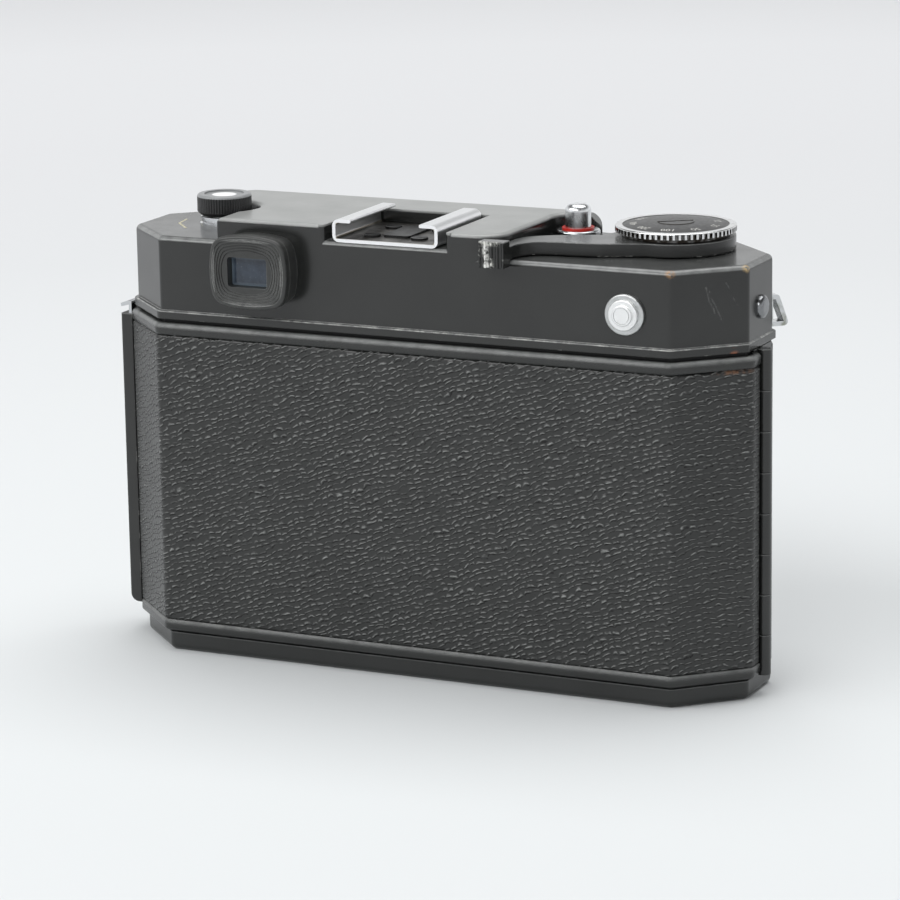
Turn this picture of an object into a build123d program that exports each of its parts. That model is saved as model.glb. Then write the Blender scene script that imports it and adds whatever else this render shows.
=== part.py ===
"""Rangefinder camera for 35 mm film, with an eight-sided body and a hinged back.

Frame: +Z up, the lens looks along -Y, the back door faces +Y, and the origin is the mouth of the
tripod socket in the middle of the underside. All sizes are in millimetres.
"""
from build123d import *
from math import acos, atan2, cos, degrees, hypot, pi, radians, sin, sqrt, tan
import os

os.makedirs("parts", exist_ok=True)

# ---------------------------------------------------------------- driving dimensions
# eight-sided plan of the body
body_half_width = 58.5
flat_half_width = 48.3
body_half_depth = 15.6
side_half_depth = 5.8

# levels, from the underside up
plate_height = 3.4
door_bottom = plate_height + 0.6
door_top = 60.3
skirt_bottom = door_top + 0.7
skirt_top = skirt_bottom + 1.45
deck_level = skirt_top + 13.2
hump_level = deck_level + 3.95

# sheet and wall thicknesses
plate_wall = 1.4
plate_floor = 1.2
plate_edge_radius = 1.2
plate_corner_radius = 1.4
cover_wall = 1.0
cover_edge_radius = 1.0
cover_corner_radius = 1.2
skirt_reach = 0.7
skirt_end_reach = 0.3
skirt_edge_radius = 0.25
casting_inset = 0.7
covering_reach = 0.1
covering_end = -5.2
hump_edge_radius = 0.8

# general clearances
running_gap = 0.05
free_gap = 0.3
snug_gap = 0.05

# film geometry
film_plane = body_half_depth - 3.2
frame_width = 36.0
frame_height = 24.0
film_width = 35.0
rail_width = 2.0
gate_thickness = 1.0
gate_half_width = 20.8
rail_reach = 0.4

# chambers in the casting
chamber_floor = door_bottom + 3.5
chamber_ceiling = door_top - 3.8
film_axis_level = (chamber_floor + chamber_ceiling) / 2
cassette_chamber_radius = 13.2
cassette_chamber_y = film_plane - 10.4
spool_chamber_radius = 11.3

# shafts (x, y)
rewind_axis = (flat_half_width - 7.0, film_plane - 8.4)
lever_axis = (6.9 - flat_half_width, 11.2 - body_half_depth)
sprocket_axis = (lever_axis[0] + 14.4, film_plane - 6.1)
button_axis = (lever_axis[0] + 19.0, lever_axis[1] - 2.1)

# hump of the top cover
hump_front = 1.8 - body_half_depth
hump_back_left = rewind_axis[0] - 4.7
hump_back_right = button_axis[0] + 5.4
hump_back_radius = 5.0
hump_front_right = button_axis[0] - 1.8
hump_front_left = flat_half_width - 2.3
hump_corner_radius = 3.0
hump_tip_radius = 0.9
hump_shoulder_radius = 1.5
hump_ear_radius = 3.5
hump_solid_end = button_axis[0] + 3.4

# accessory shoe
shoe_center = 4.3
shoe_inside = 18.8
shoe_lip_gap = 13.0
shoe_sheet = 0.6
shoe_floor = deck_level + 1.65
shoe_slot_height = 2.8
shoe_length = 18.0
shoe_back = body_half_depth - 0.3
shoe_corner_radius = 1.2
shoe_lip_radius = 0.25
notch_margin = 1.5
notch_edge_radius = 0.8
shoe_spring_width = 5.0
shoe_spring_length = 10.0

# viewfinder
eyepiece_x = 28.4
eyepiece_level = skirt_top + 8.75
eyepiece_width = 15.1
eyepiece_height = 13.0
eyepiece_reach = 4.9
eyepiece_flange = 1.7
eyepiece_window_width = 7.6
eyepiece_window_height = 5.2
eyepiece_glass_depth = 1.6
groove_pitch = 0.45
groove_width = 0.2
groove_depth = 0.15
groove_count = 5

# windows in the front of the top cover: x of the middle, width, height
window_level = skirt_top + 7.75
window_corner_radius = 0.8
window_flange = 0.6
front_windows = {
    "finder_window": (eyepiece_x, 10.4, 7.4),
    "frame_window": (10.0, 13.4, 7.4),
    "rangefinder_window": (-9.0, 5.4, 5.4),
}

# flash terminal on the back of the top cover
terminal_x = lever_axis[0] + 1.15
terminal_level = skirt_top + 5.45
terminal_radius = 3.55
terminal_flange = 0.8
terminal_bore = 1.9
cap_radius = 2.65
cap_boss_radius = 1.8
cap_groove_radius = 1.3
cap_travel = 4.0

# release button
button_radius = 2.25
button_top = hump_level + 2.4
button_edge_radius = 1.2
button_travel = 1.6
collar_radius = 3.85
collar_top = deck_level + 1.95
button_bay_radius = collar_radius + 1.25
red_ring_radius = 2.8
red_ring_top = collar_top + 0.35

# rewind knob
knob_radius = 4.83
knob_bay_radius = knob_radius + 1.47
knob_bottom = deck_level + 2.6
knob_top = knob_bottom + 3.65
knob_ribs = 60
rewind_shaft_radius = 1.6
rewind_sleeve_radius = 2.3
rewind_lift = 5.0
rewind_collar_radius = 4.2

# wind lever
lever_bottom = deck_level + free_gap
lever_top = lever_bottom + 2.2
wind_shaft_radius = 2.5
grip_inner = body_half_depth + 0.6
grip_outer = grip_inner + 2.7
grip_bottom = lever_bottom - 1.2
grip_top = lever_top + 1.05
grip_left = -14.9
grip_right = -19.5
scallop_pitch = 1.1
scallop_count = 4
scallop_radius = 0.4

# film dial on the lever hub
dial_radius = 10.4
hub_radius = dial_radius - 0.1
dial_bottom = lever_top + 0.8
dial_rim_top = dial_bottom + 1.05
dial_neck_radius = dial_radius - 1.1
dial_disc_radius = dial_radius - 1.3
dial_teeth = 64
dial_notch_radius = 0.36
dial_notch_depth = 0.55
coin_screw_radius = 3.15

# gears of the film transport
gear_module = 0.4
pressure_angle = 25.0
gear_backlash = 0.08
gear_addendum = 0.85
gear_dedendum = 1.25
gear_thickness = 1.4
gear_core_radius = 0.7
lever_wheel_teeth = 48
idler_teeth = 12
sprocket_gear_teeth = 20
lever_pinion_teeth = 28
spool_gear_teeth = 12
pinion_level = skirt_bottom + 0.8
wheel_level = pinion_level + 2.2

# take-up spool and sprocket
spool_radius = 6.6
spool_flange_radius = 9.5
spool_shaft_radius = 1.6
spool_axis_y = film_plane - 9.4
sprocket_core_radius = 4.2
sprocket_wheel_radius = 6.0
sprocket_tooth_reach = 1.1
sprocket_teeth = 8
sprocket_shaft_radius = 1.4

# back door
door_rim_reach = 1.2
leather_seat_reach = 0.55
leather_reach = 1.15
door_inner_inset = 0.45
door_corner_radius = 1.6
door_lower_rim = 1.95
door_upper_rim = 2.05
door_left_end = 5.0
door_right_end = 2.9
door_edge_radius = 0.85
door_bead_radius = 0.3

# pressure plate and its bowed leaf springs
pressure_plate_width = 40.0
pressure_plate_height = 38.0
pressure_plate_sheet = 0.9
spring_length = 28.0
spring_width = 4.0
spring_sheet = 0.22
spring_offset = 9.0

# hinge at the side of the body
hinge_axis = (-body_half_width - 1.2, 1.2)
barrel_radius = 1.25
hinge_pin_radius = 0.6
knuckle_count = 8
knuckle_gap = 0.12
leaf_thickness = 0.6
hinge_bottom = plate_height + 0.2
hinge_top = door_top + 0.5

# latch at the other side
bar_inner = body_half_width + 1.5
bar_outer = bar_inner + 2.4
bar_front = -3.5
bar_back = side_half_depth - 0.2
bar_bottom = door_bottom + 1.0
bar_top = door_top - 1.3
latch_travel = 3.0
catch_levels = (door_bottom + 13.0, door_top - 13.3)
catch_slot_x = body_half_width - 2.5
catch_slot_below = 4.0
catch_slot_height = 12.0
catch_inner = body_half_width - 3.2
catch_outer = body_half_width - 2.0
catch_front = side_half_depth - 2.8
catch_height = 2.5
catch_nose = 1.2
hook_height = 1.3
hook_width = 3.0
hook_front = 1.4

# lens and shutter
flange_radius = 27.0
flange_front = -body_half_depth - 1.6
focus_ring_radius = 26.0
focus_ring_back = flange_front - 0.2
focus_ring_front = focus_ring_back - 7.2
helicoid_radius = 21.0
helicoid_wall = 2.4
focus_tab = 5.0
barrel_rear_radius = 14.0
shutter_radius = 24.0
speed_ring_radius = 25.4
speed_ring_back = focus_ring_front - 0.5
speed_ring_front = speed_ring_back - 4.5
aperture_ring_radius = 24.6
aperture_ring_back = speed_ring_front - 0.3
aperture_ring_front = aperture_ring_back - 3.7
bezel_radius = 22.0
bezel_front = aperture_ring_front - 3.6
filter_bore = 19.98
front_glass_radius = 12.0
front_glass_apex = bezel_front + 2.2
rear_glass_radius = 9.0
ring_carrier_radius = 22.4
focus_travel = 2.2

# tripod socket, 1/4-20: the bore is the tapping size
socket_radius = 2.55
socket_depth = 5.6
bush_radius = 6.0
bush_flange_radius = 8.5
bush_top = 7.0

# screws
base_screw_radius = 1.1
base_screw_head = 2.0
base_screw_spots = [(50.0, 0.0), (-50.0, 0.0), (24.0, -10.0), (-24.0, -10.0)]
side_screw_radius = 2.05
side_screw_level = skirt_top + 5.15
side_screw_head = 1.0
side_screw_shank = 0.85
side_screw_length = 2.2
shoe_screw_radius = 1.5
shoe_screw_head = 0.35
shoe_screw_shank = 0.8
shoe_screw_x = 4.5
shoe_screw_rows = (4.5, 13.0)

# strap lugs on the front chamfers
lug_bottom = skirt_top + 0.25
lug_top = lug_bottom + 5.5
lug_width = 2.4
lug_sheet = 0.8
lug_reach_top = 1.9
lug_reach_bottom = 3.9
lug_from_corner = 2.7

# ---------------------------------------------------------------- derived values
chamfer_angle = degrees(atan2(body_half_depth - side_half_depth, body_half_width - flat_half_width))
casting_half_depth = body_half_depth - casting_inset
casting_half_width = body_half_width - casting_inset
shoe_lip_under = shoe_floor + shoe_slot_height
shoe_top = shoe_lip_under + shoe_sheet
shoe_outside = shoe_inside + 2 * shoe_sheet
notch_floor = shoe_floor - shoe_sheet
upright = (Align.CENTER, Align.CENTER, Align.MIN)


def outline(grow=0.0):
    """Corners of the eight-sided plan, every side moved outward by grow."""
    x_flat = flat_half_width + grow * tan(radians(chamfer_angle / 2))
    y_side = side_half_depth + grow * tan(radians((90 - chamfer_angle) / 2))
    x_side = body_half_width + grow
    y_flat = body_half_depth + grow
    quarter = [(x_side, y_side), (x_flat, y_flat)]
    half = quarter + [(-x, y) for x, y in reversed(quarter)]
    return half + [(-x, -y) for x, y in half]


def chamfer_y(x, grow=0.0):
    """Distance from the long axis to the chamfer of the grown plan at a given x."""
    x_side, y_side = outline(grow)[0]
    return y_side + (x_side - abs(x)) * tan(radians(chamfer_angle))


def facing_plane(x, y, z):
    """Plane facing forward at a point, with +X right and +Z up."""
    return Plane(origin=(x, y, z), x_dir=(1, 0, 0), z_dir=(0, -1, 0))


def front_plane(y):
    """Plane across the lens axis at y, facing forward, with +X right and +Z up."""
    return facing_plane(0, y, film_axis_level)


def rear_plane(x, y, z):
    """Plane facing backward at a point, with -X right and +Z up."""
    return Plane(origin=(x, y, z), x_dir=(-1, 0, 0), z_dir=(0, 1, 0))


def ring(outer, inner):
    """Annulus in the current sketch."""
    Circle(outer)
    Circle(inner, mode=Mode.SUBTRACT)


def disc_between(radius, back, front, mode=Mode.ADD):
    """Disc about the lens axis from y = back to y = front, in the current part."""
    with BuildSketch(front_plane(back)) as disc:
        Circle(radius)
    extrude(disc.sketch, amount=back - front, mode=mode)


def ring_between(outer, inner, back, front):
    """Tube about the lens axis from y = back to y = front, in the current part."""
    with BuildSketch(front_plane(back)) as tube:
        ring(outer, inner)
    extrude(tube.sketch, amount=back - front)


def axis_direction(start, end):
    """Angle in degrees of the line from one shaft to another."""
    return degrees(atan2(end[1] - start[1], end[0] - start[0]))


def mate_phase(phase, teeth, mate_teeth, direction):
    """Phase of a gear that meshes with one of the given phase, in the given direction from it."""
    fraction = (direction - phase) * teeth / 360
    return direction + 180 + (fraction + 0.5) * 360 / mate_teeth


def gear_points(teeth, phase):
    """Involute outline of a spur gear, with a tooth centred on the phase angle."""
    pitch_radius = gear_module * teeth / 2
    base_radius = pitch_radius * cos(radians(pressure_angle))
    tip_radius = pitch_radius + gear_addendum * gear_module
    root_radius = pitch_radius - gear_dedendum * gear_module
    involute_at_pitch = tan(radians(pressure_angle)) - radians(pressure_angle)
    half_tooth = 0.5 * pi / teeth - gear_backlash / (2 * pitch_radius)

    def flank(radius):
        """Half angle of the tooth at a radius."""
        if radius <= base_radius:
            return half_tooth + involute_at_pitch
        angle = acos(base_radius / radius)
        return half_tooth + involute_at_pitch - (tan(angle) - angle)

    flank_foot = max(base_radius, root_radius)
    steps = [flank_foot + (tip_radius - flank_foot) * k / 3 for k in range(4)]
    radii = [root_radius] + [r for r in steps if r > root_radius + 0.001]
    points = []
    for tooth in range(teeth):
        middle = radians(phase + tooth * 360 / teeth)
        side = [(r, -flank(r)) for r in radii] + [(r, flank(r)) for r in reversed(radii)]
        points += [(r * cos(middle + a), r * sin(middle + a)) for r, a in side]
    return points


# gear shafts and phases
spool_offset = gear_module * (lever_pinion_teeth + spool_gear_teeth) / 2
spool_axis = (
    lever_axis[0] - sqrt(spool_offset**2 - (spool_axis_y - lever_axis[1]) ** 2),
    spool_axis_y,
)
wheel_to_idler = gear_module * (lever_wheel_teeth + idler_teeth) / 2
idler_to_sprocket = gear_module * (idler_teeth + sprocket_gear_teeth) / 2
lever_to_sprocket = hypot(sprocket_axis[0] - lever_axis[0], sprocket_axis[1] - lever_axis[1])
idler_bearing = degrees(acos(
    (wheel_to_idler**2 + lever_to_sprocket**2 - idler_to_sprocket**2)
    / (2 * wheel_to_idler * lever_to_sprocket)
))
idler_angle = axis_direction(lever_axis, sprocket_axis) + idler_bearing
idler_axis = (
    lever_axis[0] + wheel_to_idler * cos(radians(idler_angle)),
    lever_axis[1] + wheel_to_idler * sin(radians(idler_angle)),
)
spool_phase = mate_phase(0, lever_pinion_teeth, spool_gear_teeth, axis_direction(lever_axis, spool_axis))
idler_phase = mate_phase(0, lever_wheel_teeth, idler_teeth, idler_angle)
sprocket_phase = mate_phase(
    idler_phase, idler_teeth, sprocket_gear_teeth, axis_direction(idler_axis, sprocket_axis)
)

# ================================================================ body
# bottom plate: a shallow pan with a rounded lower edge
with BuildPart() as bottom_plate:
    with BuildSketch():
        Polygon(*outline(), align=None)
        fillet(vertices(), plate_corner_radius)
    extrude(amount=plate_height)
    fillet(bottom_plate.faces().sort_by(Axis.Z)[0].edges(), plate_edge_radius)
    with BuildSketch(Plane.XY.offset(plate_floor)):
        Polygon(*outline(-plate_wall), align=None)
    extrude(amount=plate_height, mode=Mode.SUBTRACT)
    Cylinder(bush_radius + snug_gap, 3 * plate_floor, mode=Mode.SUBTRACT)
    with Locations(*[(x, y, 0) for x, y in base_screw_spots]):
        Cylinder(base_screw_head + snug_gap, plate_floor - 0.5, align=upright, mode=Mode.SUBTRACT)
        Cylinder(base_screw_radius + snug_gap, 2 * plate_floor, align=upright, mode=Mode.SUBTRACT)
bottom_plate.part.label = "bottom_plate"
export_step(bottom_plate.part, "parts/bottom_plate.step")

# tripod bush: flanged, held between the plate and the casting
with BuildPart() as tripod_bush:
    Cylinder(bush_radius, bush_top, align=upright)
    with Locations((0, 0, plate_floor)):
        Cylinder(bush_flange_radius, plate_height - plate_floor, align=upright)
    Cylinder(socket_radius, 2 * socket_depth, mode=Mode.SUBTRACT)
tripod_bush.part.label = "tripod_bush"
export_step(tripod_bush.part, "parts/tripod_bush.step")

# four screws up through the plate into the casting
with BuildPart() as base_screws:
    with Locations(*[(x, y, 0.15) for x, y in base_screw_spots]):
        Cylinder(base_screw_head, plate_floor - 0.5 - 0.15, align=upright)
        Cylinder(base_screw_radius, 6.0, align=upright)
    with Locations(*[(x, y, 0.15) for x, y in base_screw_spots]):
        Box(2 * base_screw_head, 0.5, 0.6, mode=Mode.SUBTRACT)
base_screws.part.label = "base_screws"
export_step(base_screws.part, "parts/base_screws.step")

# body casting: frame with the two film chambers, the light tunnel and the mechanism wells
gate_front = film_plane - rail_reach - gate_thickness
tunnel_half_width = frame_width / 2 + 1.2
tunnel_half_height = frame_height / 2 + 1.2
film_zone = film_width / 2 + 2.5
with BuildPart() as body_casting:
    with BuildSketch(Plane.XY.offset(plate_height)):
        Polygon(*outline(-casting_inset), align=None)
    extrude(amount=skirt_bottom - plate_height)
    # bosses that take the base screws
    with Locations(*[(x, y, plate_floor) for x, y in base_screw_spots]):
        Cylinder(2 * base_screw_radius, plate_height - plate_floor, align=upright)
    with Locations(*[(x, y, 0) for x, y in base_screw_spots]):
        Cylinder(base_screw_radius + snug_gap, 6.6, align=upright, mode=Mode.SUBTRACT)
    Cylinder(bush_radius + snug_gap, 2 * (bush_top + snug_gap), mode=Mode.SUBTRACT)
    # cassette chamber and take-up chamber, both open to the back
    with BuildSketch(Plane.XY.offset(chamber_floor)):
        with Locations((rewind_axis[0], cassette_chamber_y)):
            Circle(cassette_chamber_radius)
            Rectangle(2 * cassette_chamber_radius, 2 * body_half_depth, align=(Align.CENTER, Align.MIN))
        with Locations(spool_axis):
            Circle(spool_chamber_radius)
            Rectangle(2 * spool_chamber_radius, 2 * body_half_depth, align=(Align.CENTER, Align.MIN))
        with Locations(sprocket_axis):
            Circle(sprocket_wheel_radius + 2)
            Rectangle(2 * sprocket_wheel_radius + 4, 2 * body_half_depth, align=(Align.CENTER, Align.MIN))
    extrude(amount=chamber_ceiling - chamber_floor, mode=Mode.SUBTRACT)
    # bed of the film between the chambers, and the light tunnel behind the lens
    with Locations((0, gate_front, film_axis_level)):
        Box(
            2 * (rewind_axis[0] - 3), 2 * body_half_depth, 2 * film_zone,
            align=(Align.CENTER, Align.MIN, Align.CENTER), mode=Mode.SUBTRACT,
        )
        Box(
            2 * tunnel_half_width, gate_front + casting_half_depth - 2.6, 2 * tunnel_half_height,
            align=(Align.CENTER, Align.MAX, Align.CENTER), mode=Mode.SUBTRACT,
        )
    disc_between(barrel_rear_radius + 1.5, 0, -2 * body_half_depth, mode=Mode.SUBTRACT)
    # wells above and below the tunnel for the shutter and finder linkage
    well_left = rewind_axis[0] - cassette_chamber_radius - 2
    well_right = sprocket_axis[0] + sprocket_wheel_radius + 4
    well_center = (well_left + well_right) / 2
    with Locations((well_center, -2.0, skirt_bottom)):
        Box(
            well_left - well_right, 18.0, skirt_bottom - film_axis_level - tunnel_half_height - 2,
            align=(Align.CENTER, Align.CENTER, Align.MAX), mode=Mode.SUBTRACT,
        )
    with Locations((well_center + 12, -2.0, plate_height), (well_center - 16, -2.0, plate_height)):
        Box(
            12.0, 18.0, film_axis_level - tunnel_half_height - 2 - plate_height,
            align=upright, mode=Mode.SUBTRACT,
        )
    # shaft holes through the ceiling, and footings in the floor
    for axis, radius in (
        (rewind_axis, rewind_sleeve_radius + 1.4),
        (spool_axis, spool_shaft_radius),
        (sprocket_axis, sprocket_shaft_radius),
    ):
        with Locations((axis[0], axis[1], chamber_ceiling - 1)):
            Cylinder(radius + running_gap, 2 * skirt_bottom, align=upright, mode=Mode.SUBTRACT)
    for axis, radius in ((spool_axis, spool_shaft_radius), (sprocket_axis, sprocket_shaft_radius)):
        with Locations((axis[0], axis[1], chamber_floor - 2.5)):
            Cylinder(radius + running_gap, 5, align=upright, mode=Mode.SUBTRACT)
    for axis, radius in ((lever_axis, wind_shaft_radius), (idler_axis, spool_shaft_radius)):
        with Locations((axis[0], axis[1], skirt_bottom - 3)):
            Cylinder(radius + running_gap, 5, align=upright, mode=Mode.SUBTRACT)
    # slots at the latch side for the catches of the door
    with Locations(*[(catch_slot_x, 1.0, level - catch_slot_below) for level in catch_levels]):
        Box(
            2 * (casting_half_width - catch_slot_x) + 0.2, 2 * body_half_depth, catch_slot_height,
            align=(Align.CENTER, Align.MIN, Align.MIN), mode=Mode.SUBTRACT,
        )
body_casting.part.label = "body_casting"
export_step(body_casting.part, "parts/body_casting.step")

# front covering: leather round the front, between the bottom plate and the skirt of the cover
with BuildPart() as front_covering:
    with BuildSketch(Plane.XY.offset(plate_height + free_gap)):
        Polygon(*outline(covering_reach), align=None)
        Polygon(*outline(-casting_inset), align=None, mode=Mode.SUBTRACT)
        with Locations((0, covering_end)):
            Rectangle(
                4 * body_half_width, 2 * body_half_width,
                align=(Align.CENTER, Align.MIN), mode=Mode.SUBTRACT,
            )
    extrude(amount=skirt_bottom - plate_height - 2 * free_gap)
    disc_between(flange_radius + 0.1, 0, -2 * body_half_depth, mode=Mode.SUBTRACT)
front_covering.part.label = "front_covering"
export_step(front_covering.part, "parts/front_covering.step")

# film gate: polished plate with the picture window and its four rails
with BuildPart() as film_gate:
    with BuildSketch(front_plane(gate_front + gate_thickness)):
        Rectangle(2 * gate_half_width, 2 * film_zone - 0.4)
        Rectangle(frame_width, frame_height, mode=Mode.SUBTRACT)
    extrude(amount=gate_thickness)
    with BuildSketch(front_plane(film_plane)):
        with GridLocations(0, frame_height + 2 * rail_width + 0.6, 1, 2):
            Rectangle(2 * gate_half_width, rail_width)
    extrude(amount=rail_reach)
    with BuildSketch(front_plane(film_plane + 0.2)):
        with GridLocations(0, film_width + 2 * rail_width - 1.2, 1, 2):
            Rectangle(2 * gate_half_width, rail_width - 0.4)
    extrude(amount=rail_reach + 0.2)
film_gate.part.label = "film_gate"
export_step(film_gate.part, "parts/film_gate.step")


def hump_plan():
    """Outline of the raised part of the cover, with bays round the button and the rewind knob."""
    bx, by = button_axis
    kx, ky = rewind_axis
    top_x = hump_back_right - 0.4
    end_x = hump_front_right + 0.7
    bay_top = (top_x, by + sqrt(button_bay_radius**2 - (top_x - bx) ** 2))
    bay_side = (bx + button_bay_radius * cos(radians(44)), by - button_bay_radius * sin(radians(44)))
    bay_end = (end_x, by - sqrt(button_bay_radius**2 - (end_x - bx) ** 2))
    knob_side = (kx - knob_bay_radius * cos(radians(26)), ky - knob_bay_radius * sin(radians(26)))
    knob_top_point = (hump_back_left, ky + sqrt(knob_bay_radius**2 - (hump_back_left - kx) ** 2))
    tip = hump_tip_radius
    shoulder = hump_shoulder_radius
    with BuildLine() as edge:
        Line((hump_back_left, body_half_depth), (hump_back_right + hump_back_radius, body_half_depth))
        RadiusArc(
            (hump_back_right + hump_back_radius, body_half_depth),
            (hump_back_right, body_half_depth - hump_back_radius), -hump_back_radius,
        )
        Line((hump_back_right, body_half_depth - hump_back_radius), bay_top)
        ThreePointArc(bay_top, bay_side, bay_end)
        Line(bay_end, (hump_front_right, hump_front + tip))
        RadiusArc((hump_front_right, hump_front + tip), (hump_front_right + tip, hump_front), -tip)
        Line((hump_front_right + tip, hump_front), (hump_front_left - hump_corner_radius, hump_front))
        RadiusArc(
            (hump_front_left - hump_corner_radius, hump_front),
            (hump_front_left, hump_front + hump_corner_radius), -hump_corner_radius,
        )
        Line(
            (hump_front_left, hump_front + hump_corner_radius),
            (hump_front_left, ky - knob_bay_radius - shoulder),
        )
        RadiusArc(
            (hump_front_left, ky - knob_bay_radius - shoulder),
            (hump_front_left - shoulder, ky - knob_bay_radius), -shoulder,
        )
        Line((hump_front_left - shoulder, ky - knob_bay_radius), (kx, ky - knob_bay_radius))
        ThreePointArc((kx, ky - knob_bay_radius), knob_side, knob_top_point)
        Line(knob_top_point, (hump_back_left, body_half_depth))
    make_face(edge.edges())


# top cover: shell with a skirt, the raised hump and the notch for the shoe
shoe_left = shoe_center + shoe_outside / 2 + notch_margin
shoe_right = shoe_center - shoe_outside / 2 - notch_margin
notch_front = shoe_back - shoe_length - 0.5
with BuildPart() as top_cover:
    with BuildSketch(Plane.XY.offset(skirt_bottom)):
        Polygon(*outline(), align=None)
        fillet(vertices(), cover_corner_radius)
    extrude(amount=deck_level - skirt_bottom)
    fillet(top_cover.faces().sort_by(Axis.Z)[-1].edges(), cover_edge_radius)
    with BuildSketch(Plane.XY.offset(skirt_bottom + 3)):
        hump_plan()
    extrude(amount=hump_level - skirt_bottom - 3)
    fillet(top_cover.faces().sort_by(Axis.Z)[-1].edges(), hump_edge_radius)
    # the end of the hump beside the button falls away in a curve
    with BuildSketch(facing_plane(hump_front_right, 2 * hump_front, hump_level)):
        Rectangle(2 * hump_ear_radius, 2 * hump_ear_radius)
        with Locations((hump_ear_radius, -hump_ear_radius)):
            Circle(hump_ear_radius, mode=Mode.SUBTRACT)
    extrude(amount=-4 * body_half_depth, mode=Mode.SUBTRACT)
    with BuildSketch(Plane.XY.offset(skirt_bottom)):
        Polygon(*outline(skirt_reach), align=None)
        fillet(vertices(), cover_corner_radius + skirt_reach)
        with Locations((-body_half_width - skirt_end_reach, 0)):
            Rectangle(10, 4 * body_half_depth, align=(Align.MAX, Align.CENTER), mode=Mode.SUBTRACT)
    extrude(amount=skirt_top - skirt_bottom)
    fillet(
        top_cover.edges().filter_by_position(Axis.Z, skirt_top - 0.01, skirt_top + 0.01)
        .filter_by(lambda e: abs(e.center().X) > body_half_width + skirt_end_reach / 2
                   or abs(e.center().Y) > chamfer_y(e.center().X, skirt_end_reach)
                   or abs(e.center().Y) > body_half_depth + skirt_end_reach), skirt_edge_radius,
    )
    # hollow inside
    with BuildSketch(Plane.XY.offset(skirt_bottom)):
        Polygon(*outline(-cover_wall), align=None)
    extrude(amount=deck_level - cover_wall - skirt_bottom, mode=Mode.SUBTRACT)
    with BuildSketch(Plane.XY.offset(skirt_top)):
        hump_plan()
        offset(amount=-cover_wall)
        with Locations((hump_solid_end, 0)):
            Rectangle(20, 4 * body_half_depth, align=(Align.MAX, Align.CENTER), mode=Mode.SUBTRACT)
    extrude(amount=hump_level - cover_wall - skirt_top, mode=Mode.SUBTRACT)
    # notch for the shoe, with its own floor and walls
    with Locations(((shoe_left + shoe_right) / 2, notch_front - cover_wall, notch_floor - cover_wall)):
        Box(
            shoe_left - shoe_right + 2 * cover_wall, body_half_depth - notch_front + cover_wall,
            hump_level - notch_floor + cover_wall, align=(Align.CENTER, Align.MIN, Align.MIN),
        )
    with Locations(((shoe_left + shoe_right) / 2, notch_front, notch_floor)):
        Box(
            shoe_left - shoe_right, 2 * body_half_depth, 2 * (hump_level - notch_floor),
            align=(Align.CENTER, Align.MIN, Align.MIN), mode=Mode.SUBTRACT,
        )
    notch_rim = top_cover.edges().filter_by_position(Axis.Y, body_half_depth - 0.01, body_half_depth + 0.01)
    notch_rim = notch_rim.filter_by_position(Axis.X, shoe_right - 0.01, shoe_left + 0.01)
    fillet(notch_rim.filter_by_position(Axis.Z, notch_floor - 0.01, hump_level), notch_edge_radius)
    # holes for the shafts and the button
    for axis, radius in (
        (rewind_axis, rewind_sleeve_radius + 0.4),
        (lever_axis, wind_shaft_radius + 0.3),
        (button_axis, button_radius + 0.3),
    ):
        with Locations((axis[0], axis[1], deck_level)):
            Cylinder(radius, 6, mode=Mode.SUBTRACT)
    # eyepiece tube, flash terminal and the three front windows
    with BuildSketch(rear_plane(eyepiece_x, body_half_depth + 1, eyepiece_level)):
        RectangleRounded(eyepiece_window_width + 1.4, eyepiece_window_height + 1.4, 1)
    extrude(amount=-3, mode=Mode.SUBTRACT)
    with BuildSketch(rear_plane(terminal_x, body_half_depth + 1, terminal_level)):
        Circle(terminal_radius - 0.8)
    extrude(amount=-3, mode=Mode.SUBTRACT)
    for window_x, window_width, window_height in front_windows.values():
        with BuildSketch(facing_plane(window_x, -body_half_depth - 1, window_level)) as opening:
            RectangleRounded(window_width, window_height, window_corner_radius)
        extrude(opening.sketch, amount=-3, mode=Mode.SUBTRACT)
    # holes for the side screws
    with Locations((0, 0, side_screw_level)):
        Cylinder(
            side_screw_shank + snug_gap, 4 * body_half_width, rotation=(0, 90, 0), mode=Mode.SUBTRACT
        )
top_cover.part.label = "top_cover"
export_step(top_cover.part, "parts/top_cover.step")

# accessory shoe: bent sheet with two lips
shoe_screw_spots = [
    (shoe_center + dx, shoe_back - dy) for dx in (-shoe_screw_x, shoe_screw_x) for dy in shoe_screw_rows
]
with BuildPart() as accessory_shoe:
    above = (Align.CENTER, Align.MIN)
    with BuildSketch(facing_plane(shoe_center, shoe_back, shoe_floor)):
        with Locations((0, -shoe_sheet)):
            Rectangle(shoe_outside, shoe_top - shoe_floor + shoe_sheet, align=above)
        fillet(vertices(), shoe_corner_radius)
        Rectangle(shoe_inside, shoe_slot_height, align=above, mode=Mode.SUBTRACT)
        fillet(
            vertices().filter_by(lambda v: abs(abs(v.X) - shoe_inside / 2) < 0.01),
            shoe_corner_radius - shoe_sheet,
        )
        Rectangle(shoe_lip_gap, 3 * shoe_slot_height, align=above, mode=Mode.SUBTRACT)
        fillet(vertices().filter_by(lambda v: abs(abs(v.X) - shoe_lip_gap / 2) < 0.01), shoe_lip_radius)
    extrude(amount=shoe_length)
    # screw holes in the floor
    with Locations(*[(x, y, shoe_floor) for x, y in shoe_screw_spots]):
        Cylinder(shoe_screw_shank + 2 * snug_gap, 3 * shoe_sheet, mode=Mode.SUBTRACT)
accessory_shoe.part.label = "accessory_shoe"
export_step(accessory_shoe.part, "parts/accessory_shoe.step")

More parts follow.
